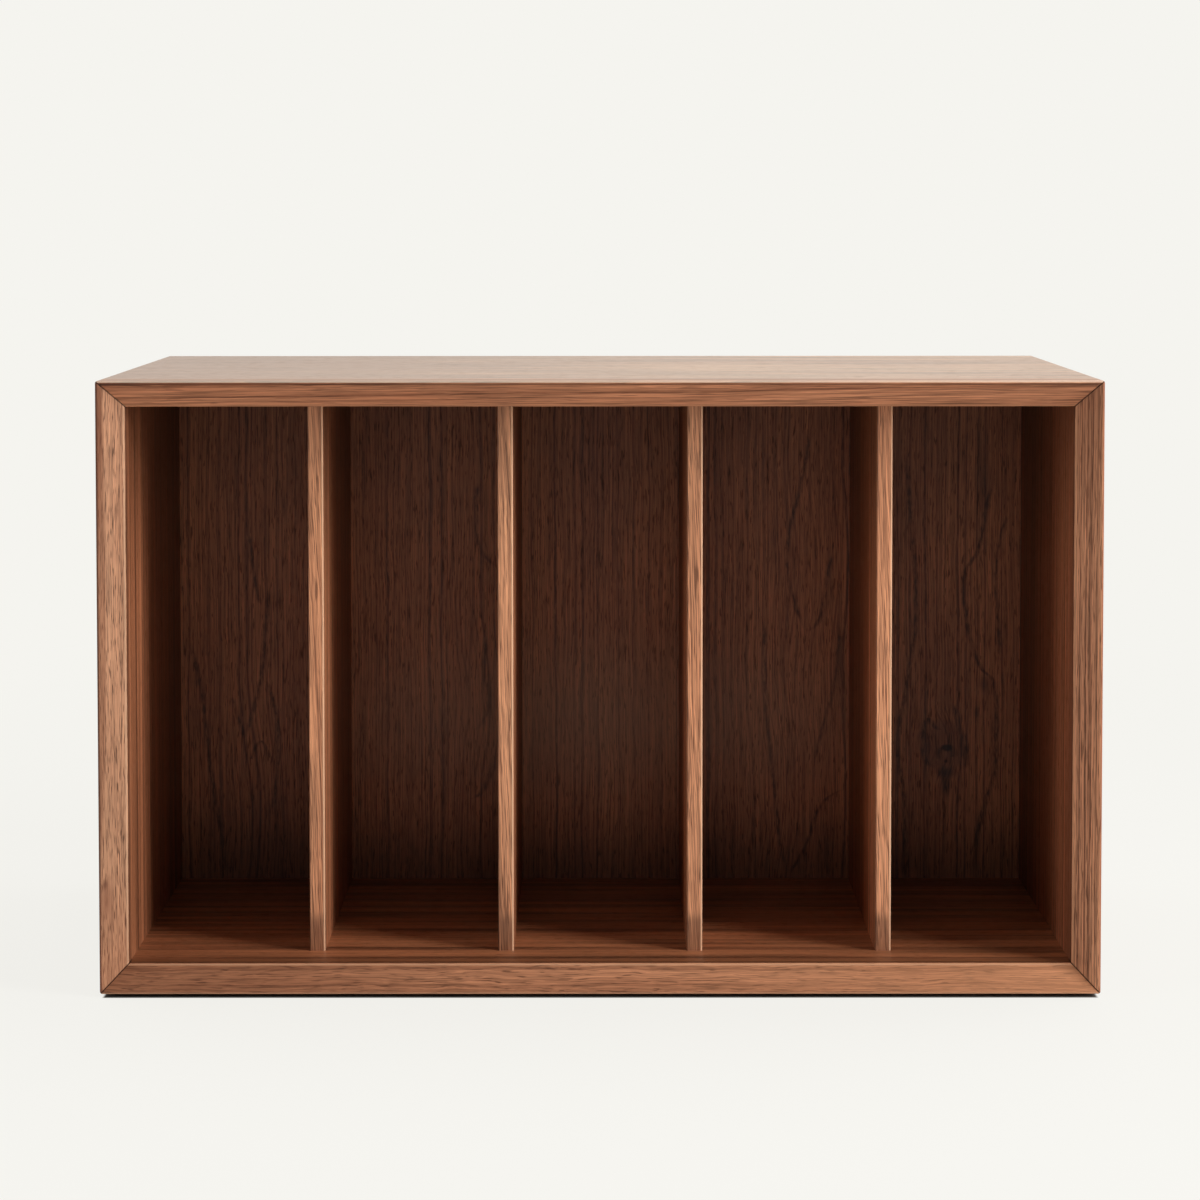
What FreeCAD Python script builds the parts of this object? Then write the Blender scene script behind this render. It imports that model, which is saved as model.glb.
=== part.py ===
import FreeCAD, Part
import os

import Sketcher

# A record storage shelf: a mitred walnut case with upright bays for 12-inch records in sleeves.
# X runs along the width, the front faces -Y and Z is up. The origin lies on the surface that the
# shelf stands on, under the middle of the case. All sizes are in millimetres.

SIZES = {
    # Case of four boards, mitred at the corners
    "case_width": 600,
    "case_height": 368,
    "case_depth": 400,
    "board_thickness": 16,
    "corner_radius": 1.5,          # outer corners, along the depth
    "arris_radius": 0.6,           # eased edges that a hand meets
    "round_limit_share": 0.8,      # most of a wall's width that an eased edge may take
    # Front lippings, bevelled inwards behind a narrow flat nose
    "lipping_depth": 28,
    "nose_width": 1.2,
    "bevel_depth": 15,
    "mitre_chamfer_width": 0.3,    # chamfer along the mitres of the bevels
    "tongue_thickness": 4,
    "tongue_length": 5,
    "tongue_end_distance": 40,     # the tongue ends this far short of the board's end
    "glue_clearance": 0.1,         # round tongues, splines and dowels
    # Splines across the mitres
    "spline_thickness": 4,
    "spline_wall_thickness": 3,    # wood left between a spline and the outer face
    "spline_groove_distance": 2,   # wood left between a spline and the back groove
    "spline_end_distance": 25,     # from the board's front and rear to a spline
    # Back panel in grooves of the boards
    "record_depth": 320,           # from the nose to the face of the back panel
    "back_thickness": 6,
    "back_groove_depth": 5,
    "back_clearance": 0.2,
    # Dividers
    "divider_count": 4,
    "divider_thickness": 9.5,
    "divider_setback": 55,         # from the nose to the front of a divider
    "divider_lipping_depth": 6,
    # Dowels at both ends of a divider
    "dowel_count": 3,
    "dowel_diameter": 6,
    "dowel_length": 28,
    "dowel_in_board": 10,
    "dowel_edge_distance": 35,     # from the ends of a divider's depth to the outer dowels
    "dowel_chamfer_width": 0.8,
    "dowel_end_clearance": 1,      # room for glue past each end of a dowel
    # Screws through the back panel
    "screw_count": 3,              # in each divider
    "screw_diameter": 3.5,
    "screw_length": 25,
    "screw_tip_length": 4,
    "screw_head_diameter": 7.5,
    "screw_head_height": 2.4,
    "screw_crown_radius": 1.5,     # rounding of the head
    "screw_recess_length": 4,
    "screw_recess_width": 0.9,
    "screw_recess_depth": 1.4,
    "screw_edge_distance": 45,     # from the ends of a divider to the outer screws
    "screw_clearance": 0.1,        # round a screw in the divider
    "screw_hole_clearance": 0.4,   # round a screw in the back panel
    # Glides under the case
    "glide_columns": 3,
    "glide_rows": 2,
    "glide_diameter": 24,
    "glide_thickness": 4,
    "glide_seat_depth": 2,         # depth of the seat in the bottom board
    "glide_clearance": 0.1,
    "glide_edge_distance": 26,     # from the edges of the bottom board to the middle of a glide
    "glide_edge_radius": 0.8,
    "nail_diameter": 2.4,
    "nail_length": 11,
    "nail_head_diameter": 6,
    "nail_head_height": 1,
    "nail_seat_depth": 1.6,        # depth of the seat of the nail's head in the glide
    "nail_tip_length": 2,
    "nail_clearance": 0.05,
    # Cuts run this far past the face that they start from
    "cut_overrun_length": 5,
}

document = FreeCAD.newDocument("record_shelf")
sizes = document.addObject("Spreadsheet::Sheet", "sizes")
for row, (alias, size) in enumerate(SIZES.items(), start=1):
    sizes.set(f"A{row}", alias)
    sizes.set(f"B{row}", str(size))
    sizes.setAlias(f"B{row}", alias)
document.recompute()

# Places and sizes that follow from the sheet, as expressions
STAND = "(sizes.glide_thickness - sizes.glide_seat_depth)"
HALF_WIDTH = "(sizes.case_width / 2)"
HALF_HEIGHT = "(sizes.case_height / 2)"
MIDDLE = f"({STAND} + {HALF_HEIGHT})"
FRONT = "(-sizes.case_depth / 2)"
REAR = "(sizes.case_depth / 2)"
BOARD_FRONT = f"({FRONT} + sizes.lipping_depth)"
BACK_FACE = f"({FRONT} + sizes.record_depth)"
BACK_REAR = f"({BACK_FACE} + sizes.back_thickness)"
INNER_WIDTH = "(sizes.case_width - 2 * sizes.board_thickness)"
INNER_HEIGHT = "(sizes.case_height - 2 * sizes.board_thickness)"
DIVIDER_FRONT = f"({FRONT} + sizes.divider_setback)"
DIVIDER_BODY = f"({DIVIDER_FRONT} + sizes.divider_lipping_depth)"
BAY_WIDTH = (f"(({INNER_WIDTH} - sizes.divider_count * sizes.divider_thickness)"
             " / (sizes.divider_count + 1))")
DIVIDER_PITCH = f"({BAY_WIDTH} + sizes.divider_thickness)"
FIRST_DIVIDER = f"({BAY_WIDTH} + sizes.divider_thickness / 2 - {INNER_WIDTH} / 2)"
DOWEL_IN_DIVIDER = "(sizes.dowel_length - sizes.dowel_in_board)"
DOWEL_FIRST = f"({DIVIDER_BODY} + sizes.dowel_edge_distance)"
DOWEL_SPACING = f"(({BACK_FACE} - sizes.dowel_edge_distance - {DOWEL_FIRST}) / (sizes.dowel_count - 1))"
SCREW_FIRST = f"(sizes.screw_edge_distance - {INNER_HEIGHT} / 2)"
SCREW_SPACING = f"(({INNER_HEIGHT} - 2 * sizes.screw_edge_distance) / (sizes.screw_count - 1))"
EASE = "min(sizes.arris_radius; sizes.round_limit_share * sizes.nose_width)"
# Middle of a spline, from the inner corner along the mitre, and its half width across the mitre
SPLINE_MIDDLE = ("(sqrt(2) * sizes.back_groove_depth + sizes.spline_groove_distance"
                 " + sizes.spline_thickness / 2)")
SPLINE_HALF = ("(sqrt(2) * (sizes.board_thickness - sizes.spline_wall_thickness)"
               f" - {SPLINE_MIDDLE} - sizes.spline_thickness / 2)")
SPLINE_FRONT = f"({BOARD_FRONT} + sizes.spline_end_distance)"
SPLINE_REAR = f"({REAR} - sizes.spline_end_distance)"
GLIDE_SPAN_X = "(sizes.case_width - 2 * sizes.glide_edge_distance)"
GLIDE_SPAN_Y = f"({REAR} - {BOARD_FRONT} - 2 * sizes.glide_edge_distance)"
NAIL_TOP = "(sizes.nail_seat_depth + sizes.nail_length)"

UPRIGHT = FreeCAD.Vector(0, 0, 1)
ACROSS = FreeCAD.Vector(0, 1, 0)
TOUCH = 1e-6                      # two places closer than this are the same place


def value(expression):
    """Number that an expression on the sheet gives."""
    return float(sizes.evalExpression(expression))


def count(alias):
    """Whole number held by a cell."""
    return int(round(value(f"sizes.{alias}")))


def row_of(first, spacing, total):
    """Expressions of evenly spaced places."""
    return [f"({first} + {index} * {spacing})" for index in range(total)]


def new_body(label, x="0", y="0", z="0", turn=0):
    """Empty sub-part, turned about the Y axis and placed at x, y, z."""
    body = document.addObject("PartDesign::Body", label)
    body.Label = label
    body.Placement = FreeCAD.Placement(FreeCAD.Vector(), FreeCAD.Rotation(ACROSS, turn))
    for axis, place in zip("xyz", (x, y, z)):
        body.setExpression(f"Placement.Base.{axis}", place)
    return body


def origin_part(body, role):
    """Origin plane or axis of a sub-part."""
    return next(item for item in body.Origin.OriginFeatures if item.Role == role)


def sketch_on(body, name, role, along="0", x="0", y="0"):
    """Sketch on an origin plane, moved along its normal and within the plane."""
    sketch = body.newObject("Sketcher::SketchObject", f"{body.Name}_{name}")
    sketch.AttachmentSupport = [(origin_part(body, role), "")]
    sketch.MapMode = "FlatFace"
    for axis, offset in zip("xyz", (x, y, along)):
        sketch.setExpression(f"AttachmentOffset.Base.{axis}", offset)
    return sketch


def sketch_front(body, name, y):
    """Sketch on a plane that faces the front, at a depth y."""
    return sketch_on(body, name, "XZ_Plane", f"-{y}")


def bind(sketch, kind, *arguments, expression):
    """Driving constraint of a sketch, bound to an expression."""
    index = sketch.addConstraint(Sketcher.Constraint(kind, *arguments, value(expression)))
    sketch.setExpression(f"Constraints[{index}]", expression)


def pin(sketch, geometry, end, place):
    """Fix a point of a sketch at a place given by two expressions."""
    bind(sketch, "DistanceX", geometry, end, expression=place[0])
    bind(sketch, "DistanceY", geometry, end, expression=place[1])


def point(place):
    """Point of a sketch at a place given by two expressions."""
    return FreeCAD.Vector(value(place[0]), value(place[1]), 0)


def outline(sketch, corners, arcs=None):
    """Closed outline through corners, anticlockwise; arcs gives centre and radius of curved sides."""
    arcs = arcs or {}
    total = len(corners)
    for side, corner in enumerate(corners):
        start = point(corner)
        end = point(corners[(side + 1) % total])
        if side not in arcs:
            sketch.addGeometry(Part.LineSegment(start, end), False)
            continue
        centre, radius = arcs[side]
        middle = point(centre)
        circle = Part.Circle(middle, UPRIGHT, value(radius))
        angles = [circle.parameter(start), circle.parameter(end)]
        sketch.addGeometry(Part.ArcOfCircle(circle, *angles), False)
    for side, corner in enumerate(corners):
        sketch.addConstraint(Sketcher.Constraint("Coincident", side, 2, (side + 1) % total, 1))
        pin(sketch, side, 1, corner)
    for side, (centre, radius) in arcs.items():
        bind(sketch, "Radius", side, expression=radius)


def rectangle(sketch, left, right, low, high):
    """Rectangle between four expressions."""
    outline(sketch, [(left, low), (right, low), (right, high), (left, high)])


def circles(sketch, centres, diameter):
    """Equal circles about the centres."""
    for centre in centres:
        circle = Part.Circle(point(centre), UPRIGHT, value(diameter) / 2)
        index = sketch.addGeometry(circle, False)
        pin(sketch, index, 3, centre)
        bind(sketch, "Diameter", index, expression=diameter)


def pad(body, sketch, name, length, side="One side"):
    """Solid raised from a sketch along its normal."""
    feature = body.newObject("PartDesign::Pad", f"{body.Name}_{name}")
    feature.Profile = sketch
    feature.SideType = side
    feature.setExpression("Length", length)
    document.recompute()
    return feature


def pocket(body, sketch, name, length, side="One side", reverse=False):
    """Cut made from a sketch against its normal; it must remove wood."""
    before = body.Shape.Volume
    feature = body.newObject("PartDesign::Pocket", f"{body.Name}_{name}")
    feature.Profile = sketch
    feature.SideType = side
    feature.Reversed = reverse
    feature.setExpression("Length", length)
    document.recompute()
    if body.Shape.Volume >= before - TOUCH:
        raise RuntimeError(f"{body.Label}: {name} removes nothing")
    return feature


def revolve(body, sketch, name, axis):
    """Solid turned from a sketch about one of the sketch's own axes."""
    feature = body.newObject("PartDesign::Revolution", f"{body.Name}_{name}")
    feature.Profile = sketch
    feature.ReferenceAxis = (sketch, [axis])
    document.recompute()
    return feature


def dress(body, kind, name, size, chosen):
    """Fillet or Chamfer on the edges that chosen accepts."""
    base = body.Tip
    names = [f"Edge{index}" for index, edge in enumerate(base.Shape.Edges, start=1) if chosen(edge)]
    feature = body.newObject(f"PartDesign::{kind}", f"{body.Name}_{name}")
    feature.Base = (base, names)
    feature.setExpression("Radius" if kind == "Fillet" else "Size", size)
    document.recompute()
    return feature


def same(first, second):
    """Whether two numbers are the same place."""
    return abs(first - second) < TOUCH


def ends_lie_at(edge, **places):
    """Whether both ends of an edge lie at the given x, y or z."""
    return all(
        same(getattr(vertex, axis.upper()), place)
        for vertex in edge.Vertexes
        for axis, place in places.items()
    )


def is_arc(edge):
    """Whether an edge is part of a circle."""
    return isinstance(edge.Curve, Part.Circle)


def mitred_outline(sketch, length):
    """Section of a mitred board: outer face on the axis, inner face above it, rounded tips."""
    tip = f"({length} / 2 - sizes.corner_radius)"
    inner = f"({length} / 2 - sizes.board_thickness)"
    mitre_x = f"({tip} + sizes.corner_radius / sqrt(2))"
    mitre_z = "(sizes.corner_radius - sizes.corner_radius / sqrt(2))"
    corners = [
        (f"-{tip}", "0"),
        (tip, "0"),
        (mitre_x, mitre_z),
        (inner, "sizes.board_thickness"),
        (f"-{inner}", "sizes.board_thickness"),
        (f"-{mitre_x}", mitre_z),
    ]
    arcs = {
        1: ((tip, "sizes.corner_radius"), "sizes.corner_radius"),
        5: ((f"-{tip}", "sizes.corner_radius"), "sizes.corner_radius"),
    }
    outline(sketch, corners, arcs)


def tongue_section(sketch, room):
    """Section of the lipping's tongue, or of its groove with some room."""
    low = f"(sizes.board_thickness / 2 - sizes.tongue_thickness / 2 - {room})"
    high = f"(sizes.board_thickness / 2 + sizes.tongue_thickness / 2 + {room})"
    rectangle(sketch, BOARD_FRONT, f"({BOARD_FRONT} + sizes.tongue_length + {room})", low, high)


def spline_slot(sketch, length, end):
    """Slot for half a spline, square to the mitre at one end of a board."""
    room = "sizes.glue_clearance"
    near = f"({SPLINE_MIDDLE} - sizes.spline_thickness / 2 - {room})"
    far = f"({SPLINE_MIDDLE} + sizes.spline_thickness / 2 + {room})"
    deep = f"(-({SPLINE_HALF} + {room}))"
    past = "sizes.cut_overrun_length"
    places = [(near, deep), (far, deep), (far, past), (near, past)]
    inner = f"({length} / 2 - sizes.board_thickness)"
    corners = [
        (f"({end} * ({inner} + ({along} + {out}) / sqrt(2)))",
         f"(sizes.board_thickness - ({along} - {out}) / sqrt(2))")
        for along, out in places
    ]
    outline(sketch, corners if end > 0 else corners[::-1])


def case_board(label, length, x, z, turn):
    """One veneered board of the case, behind its lipping.

    The board is drawn lying on its outer face, with its length along X, and then turned into place.
    """
    body = new_body(label, x=x, z=z, turn=turn)
    section = sketch_front(body, "section", REAR)
    mitred_outline(section, length)
    pad(body, section, "board", f"{REAR} - {BOARD_FRONT}")

    rear = value(REAR)
    thickness = value("sizes.board_thickness")
    dress(body, "Fillet", "rear_edges", "sizes.arris_radius",
          lambda edge: ends_lie_at(edge, y=rear)
          and (is_arc(edge) or ends_lie_at(edge, z=0) or ends_lie_at(edge, z=thickness)))

    groove = sketch_on(body, "back_groove_section", "YZ_Plane")
    rectangle(groove, f"({BACK_FACE} - sizes.back_clearance)", f"({BACK_REAR} + sizes.back_clearance)",
              "(sizes.board_thickness - sizes.back_groove_depth)",
              "(sizes.board_thickness + sizes.cut_overrun_length)")
    pocket(body, groove, "back_groove", length, side="Symmetric")

    tongue = sketch_on(body, "tongue_groove_section", "YZ_Plane")
    tongue_section(tongue, "sizes.glue_clearance")
    pocket(body, tongue, "tongue_groove",
           f"{length} - 2 * sizes.tongue_end_distance + 2 * sizes.glue_clearance", side="Symmetric")

    for end, name in ((1, "spline_slot_one"), (-1, "spline_slot_two")):
        slot = sketch_front(body, f"{name}_section", f"({SPLINE_FRONT} - sizes.glue_clearance)")
        spline_slot(slot, length, end)
        pocket(body, slot, name, f"{SPLINE_REAR} - {SPLINE_FRONT} + 2 * sizes.glue_clearance")
    return body


def divider_sockets(body):
    """Dowel holes for every divider, in the inner face of the top or bottom board."""
    across = row_of(FIRST_DIVIDER, DIVIDER_PITCH, count("divider_count"))
    deep = row_of(DOWEL_FIRST, DOWEL_SPACING, count("dowel_count"))
    holes = sketch_on(body, "dowel_holes", "XY_Plane", "sizes.board_thickness")
    circles(holes, [(x, y) for x in across for y in deep],
            "sizes.dowel_diameter + 2 * sizes.glue_clearance")
    pocket(body, holes, "dowel_sockets", "sizes.dowel_in_board + sizes.dowel_end_clearance")


def glide_places():
    """Places of the glides under the case, as pairs of expressions."""
    across = row_of(f"(-{GLIDE_SPAN_X} / 2)", f"({GLIDE_SPAN_X} / (sizes.glide_columns - 1))",
                    count("glide_columns"))
    deep = row_of(f"({BOARD_FRONT} + sizes.glide_edge_distance)",
                  f"({GLIDE_SPAN_Y} / (sizes.glide_rows - 1))", count("glide_rows"))
    return [(x, y) for y in deep for x in across]


def glide_seats(body):
    """Seats of the glides and holes of their nails, in the outer face of the bottom board."""
    seats = sketch_on(body, "glide_circles", "XY_Plane")
    circles(seats, glide_places(), "sizes.glide_diameter + 2 * sizes.glide_clearance")
    pocket(body, seats, "glide_seats", "sizes.glide_seat_depth", reverse=True)
    holes = sketch_on(body, "nail_circles", "XY_Plane")
    circles(holes, glide_places(), "sizes.nail_diameter + 2 * sizes.nail_clearance")
    pocket(body, holes, "nail_holes", f"{NAIL_TOP} + sizes.nail_clearance - {STAND}", reverse=True)


def front_lipping(label, length, x, z, turn):
    """Solid front edge of one board, bevelled inwards, with a tongue at its rear."""
    body = new_body(label, x=x, z=z, turn=turn)
    section = sketch_front(body, "section", BOARD_FRONT)
    mitred_outline(section, length)
    pad(body, section, "strip", "sizes.lipping_depth")

    bevel = sketch_on(body, "bevel_section", "YZ_Plane")
    bevel_rear = f"({FRONT} + sizes.bevel_depth)"
    above = "(sizes.board_thickness + sizes.cut_overrun_length)"
    before = f"({FRONT} - sizes.cut_overrun_length)"
    outline(bevel, [(before, "sizes.nose_width"), (FRONT, "sizes.nose_width"),
                    (bevel_rear, "sizes.board_thickness"), (bevel_rear, above), (before, above)])
    pocket(body, bevel, "bevel", length, side="Symmetric")

    front = value(FRONT)
    bevel_end = value(bevel_rear)
    thickness = value("sizes.board_thickness")

    def along_mitre(edge):
        """Whether an edge runs up the bevel, from the nose to the inner face."""
        depths = sorted(vertex.Y for vertex in edge.Vertexes)
        return same(depths[0], front) and same(depths[-1], bevel_end)

    def at_nose(edge):
        """Whether an edge is the outer arris of the nose."""
        return ends_lie_at(edge, y=front) and (is_arc(edge) or ends_lie_at(edge, z=0))

    def at_inner_arris(edge):
        """Whether an edge lies between the bevel and the inner face."""
        return ends_lie_at(edge, y=bevel_end, z=thickness)

    dress(body, "Chamfer", "eased_mitres", "sizes.mitre_chamfer_width", along_mitre)
    dress(body, "Fillet", "eased_nose", EASE, at_nose)
    dress(body, "Fillet", "eased_inner_arris", EASE, at_inner_arris)

    tongue = sketch_on(body, "tongue_section", "YZ_Plane")
    tongue_section(tongue, "0")
    pad(body, tongue, "tongue", f"{length} - 2 * sizes.tongue_end_distance", side="Symmetric")
    return body


def mitre_spline(label, x, z, turn):
    """Loose spline across one mitre, drawn from the inner corner outwards."""
    body = new_body(label, x=x, z=z, turn=turn)
    section = sketch_front(body, "section", SPLINE_REAR)
    rectangle(section, f"(-{SPLINE_HALF})", SPLINE_HALF,
              f"({SPLINE_MIDDLE} - sizes.spline_thickness / 2)",
              f"({SPLINE_MIDDLE} + sizes.spline_thickness / 2)")
    pad(body, section, "strip", f"{SPLINE_REAR} - {SPLINE_FRONT}")
    return body


def screw_places():
    """Places of all the screws on the back panel, as pairs of expressions."""
    across = row_of(FIRST_DIVIDER, DIVIDER_PITCH, count("divider_count"))
    up = row_of(SCREW_FIRST, SCREW_SPACING, count("screw_count"))
    return [(x, z) for x in across for z in up]


def back_panel():
    """Panel that floats in the grooves of the boards and is screwed to the dividers."""
    body = new_body("back_panel", z=MIDDLE)
    half_width = f"({INNER_WIDTH} / 2 + sizes.back_groove_depth - sizes.back_clearance)"
    half_height = f"({INNER_HEIGHT} / 2 + sizes.back_groove_depth - sizes.back_clearance)"
    section = sketch_front(body, "section", BACK_REAR)
    rectangle(section, f"-{half_width}", half_width, f"-{half_height}", half_height)
    pad(body, section, "sheet", "sizes.back_thickness")
    holes = sketch_front(body, "screw_circles", BACK_FACE)
    circles(holes, screw_places(), "sizes.screw_diameter + 2 * sizes.screw_hole_clearance")
    pocket(body, holes, "screw_holes", "sizes.back_thickness")
    return body


def divider(label, x):
    """Upright divider with dowel holes at both ends and screw holes in its rear edge."""
    body = new_body(label, x=x, z=MIDDLE)
    half = "(sizes.divider_thickness / 2)"
    top = f"({INNER_HEIGHT} / 2)"
    section = sketch_front(body, "section", BACK_FACE)
    rectangle(section, f"-{half}", half, f"-{top}", top)
    pad(body, section, "board", f"{BACK_FACE} - {DIVIDER_BODY}")
    deep = row_of(DOWEL_FIRST, DOWEL_SPACING, count("dowel_count"))
    for name, height, reverse in (("upper", top, False), ("lower", f"(-{top})", True)):
        holes = sketch_on(body, f"{name}_dowel_circles", "XY_Plane", height)
        circles(holes, [("0", y) for y in deep], "sizes.dowel_diameter + 2 * sizes.glue_clearance")
        pocket(body, holes, f"{name}_dowel_holes", f"{DOWEL_IN_DIVIDER} + sizes.dowel_end_clearance",
               reverse=reverse)
    holes = sketch_front(body, "screw_circles", BACK_FACE)
    up = row_of(SCREW_FIRST, SCREW_SPACING, count("screw_count"))
    circles(holes, [("0", z) for z in up], "sizes.screw_diameter + 2 * sizes.screw_clearance")
    pocket(body, holes, "screw_holes",
           "sizes.screw_length - sizes.back_thickness + sizes.screw_clearance", reverse=True)
    return body


def divider_lipping(label, x):
    """Solid front edge of a divider."""
    body = new_body(label, x=x, z=MIDDLE)
    half = "(sizes.divider_thickness / 2)"
    section = sketch_front(body, "section", DIVIDER_BODY)
    rectangle(section, f"-{half}", half, f"(-{INNER_HEIGHT} / 2)", f"({INNER_HEIGHT} / 2)")
    pad(body, section, "strip", "sizes.divider_lipping_depth")
    front = value(DIVIDER_FRONT)
    side = value(half)
    dress(body, "Fillet", "eased_edges", "sizes.arris_radius",
          lambda edge: ends_lie_at(edge, y=front)
          and (ends_lie_at(edge, x=side) or ends_lie_at(edge, x=-side)))
    return body


def divider_dowels(label, x):
    """Chamfered dowels at both ends of a divider."""
    body = new_body(label, x=x, z=MIDDLE)
    places = [("0", y) for y in row_of(DOWEL_FIRST, DOWEL_SPACING, count("dowel_count"))]
    upper = f"({INNER_HEIGHT} / 2 - {DOWEL_IN_DIVIDER})"
    lower = f"(-{INNER_HEIGHT} / 2 - sizes.dowel_in_board)"
    for name, start in (("upper", upper), ("lower", lower)):
        section = sketch_on(body, f"{name}_circles", "XY_Plane", start)
        circles(section, places, "sizes.dowel_diameter")
        pad(body, section, f"{name}_dowels", "sizes.dowel_length")
    dress(body, "Chamfer", "ends", "sizes.dowel_chamfer_width", is_arc)
    return body


def repeat(body, features, rows):
    """Copies of features along X, Y or Z; rows gives the axis, the span and the count of each."""
    steps = []
    for role, span, alias in rows:
        step = body.newObject("PartDesign::LinearPattern", f"{body.Name}_{role}_step")
        step.Direction = (origin_part(body, role), [""])
        step.setExpression("Length", span)
        step.setExpression("Occurrences", f"sizes.{alias}")
        steps.append(step)
    places = body.newObject("PartDesign::MultiTransform", f"{body.Name}_places")
    places.Originals = features
    places.Transformations = steps
    body.Tip = places
    document.recompute()


def back_panel_screws():
    """Pan-head screws with a cross recess, driven from behind into the dividers."""
    body = new_body("back_panel_screws", z=MIDDLE)
    shank = "(sizes.screw_diameter / 2)"
    head = "(sizes.screw_head_diameter / 2)"
    section = sketch_on(body, "section", "YZ_Plane", FIRST_DIVIDER, x=BACK_REAR, y=SCREW_FIRST)
    crown_start = "(sizes.screw_head_height - sizes.screw_crown_radius)"
    crown_radius = f"({head} - sizes.screw_crown_radius)"
    outline(
        section,
        [("-sizes.screw_length", "0"), ("sizes.screw_head_height", "0"),
         ("sizes.screw_head_height", crown_radius), (crown_start, head), ("0", head), ("0", shank),
         ("(sizes.screw_tip_length - sizes.screw_length)", shank)],
        {2: ((crown_start, crown_radius), "sizes.screw_crown_radius")},
    )
    turned = revolve(body, section, "screw", "H_Axis")

    arm = "(sizes.screw_recess_length / 2)"
    web = "(sizes.screw_recess_width / 2)"
    recess = sketch_on(body, "recess_section", "XZ_Plane",
                       f"(-({BACK_REAR} + sizes.screw_head_height))", x=FIRST_DIVIDER, y=SCREW_FIRST)
    quarter = [(arm, f"-{web}"), (arm, web), (web, web)]
    cross = []
    for _ in range(4):
        cross += quarter
        quarter = [(f"(-{y})", x) for x, y in quarter]
    outline(recess, cross)
    cut = pocket(body, recess, "recess", "sizes.screw_recess_depth", reverse=True)
    repeat(body, [turned, cut], [
        ("X_Axis", f"(sizes.divider_count - 1) * {DIVIDER_PITCH}", "divider_count"),
        ("Z_Axis", f"(sizes.screw_count - 1) * {SCREW_SPACING}", "screw_count"),
    ])
    return body


def glide(label, x, y):
    """Low round glide with a stepped hole for its nail."""
    body = new_body(label, x=x, y=y)
    rim = "(sizes.glide_diameter / 2)"
    bore = "(sizes.nail_diameter / 2 + sizes.nail_clearance)"
    seat = "(sizes.nail_head_diameter / 2 + sizes.nail_clearance)"
    section = sketch_on(body, "section", "XZ_Plane")
    round_x = f"({rim} - sizes.glide_edge_radius)"
    outline(
        section,
        [(seat, "0"), (round_x, "0"), (rim, "sizes.glide_edge_radius"), (rim, "sizes.glide_thickness"),
         (bore, "sizes.glide_thickness"), (bore, "sizes.nail_seat_depth"),
         (seat, "sizes.nail_seat_depth")],
        {1: ((round_x, "sizes.glide_edge_radius"), "sizes.glide_edge_radius")},
    )
    revolve(body, section, "disc", "V_Axis")
    return body


def glide_nails():
    """Nails that hold the glides, one in each."""
    first_x, first_y = glide_places()[0]
    body = new_body("glide_nails")
    shank = "(sizes.nail_diameter / 2)"
    head = "(sizes.nail_head_diameter / 2)"
    head_low = "(sizes.nail_seat_depth - sizes.nail_head_height)"
    section = sketch_on(body, "section", "XZ_Plane", f"(-{first_y})", x=first_x)
    outline(section, [("0", head_low), (head, head_low), (head, "sizes.nail_seat_depth"),
                      (shank, "sizes.nail_seat_depth"), (shank, f"({NAIL_TOP} - sizes.nail_tip_length)"),
                      ("0", NAIL_TOP)])
    turned = revolve(body, section, "nail", "V_Axis")
    repeat(body, [turned], [
        ("X_Axis", GLIDE_SPAN_X, "glide_columns"),
        ("Y_Axis", GLIDE_SPAN_Y, "glide_rows"),
    ])
    return body


# Outer face of each board of the case: name, length, middle of the face and turn about Y
FACES = [
    ("bottom", "sizes.case_width", "0", STAND, 0),
    ("top", "sizes.case_width", "0", f"({STAND} + sizes.case_height)", 180),
    ("left", "sizes.case_height", f"(-{HALF_WIDTH})", MIDDLE, 90),
    ("right", "sizes.case_height", HALF_WIDTH, MIDDLE, -90),
]
PANEL_LABELS = {
    "bottom": "bottom_panel",
    "top": "top_panel",
    "left": "left_side_panel",
    "right": "right_side_panel",
}
# Inner corners of the case: name, side and level of the corner, turn of its mitre
CORNERS = [
    ("top_right", 1, 1, 45),
    ("top_left", -1, 1, -45),
    ("bottom_right", 1, -1, 135),
    ("bottom_left", -1, -1, -135),
]
GLIDE_COLUMNS = ["left", "middle", "right"]
GLIDE_ROWS = ["front", "rear"]


def build_shelf():
    """All sub-parts of the shelf.

    Returns:
        The sub-parts, each with its own label.
    """
    pieces = []
    for name, length, x, z, turn in FACES:
        board = case_board(PANEL_LABELS[name], length, x, z, turn)
        if name in ("bottom", "top"):
            divider_sockets(board)
        if name == "bottom":
            glide_seats(board)
        pieces.append(board)
        pieces.append(front_lipping(f"{name}_lipping", length, x, z, turn))
    for name, side, level, turn in CORNERS:
        x = f"({side} * {INNER_WIDTH} / 2)"
        z = f"({MIDDLE} + {level} * {INNER_HEIGHT} / 2)"
        pieces.append(mitre_spline(f"{name}_spline", x, z, turn))
    pieces.append(back_panel())
    for number, x in enumerate(row_of(FIRST_DIVIDER, DIVIDER_PITCH, count("divider_count")), start=1):
        pieces.append(divider(f"divider_{number}", x))
        pieces.append(divider_lipping(f"divider_{number}_lipping", x))
        pieces.append(divider_dowels(f"divider_{number}_dowels", x))
    pieces.append(back_panel_screws())
    labels = [f"glide_{row}_{column}" for row in GLIDE_ROWS for column in GLIDE_COLUMNS]
    for label, (x, y) in zip(labels, glide_places()):
        pieces.append(glide(label, x, y))
    pieces.append(glide_nails())
    return pieces


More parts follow.
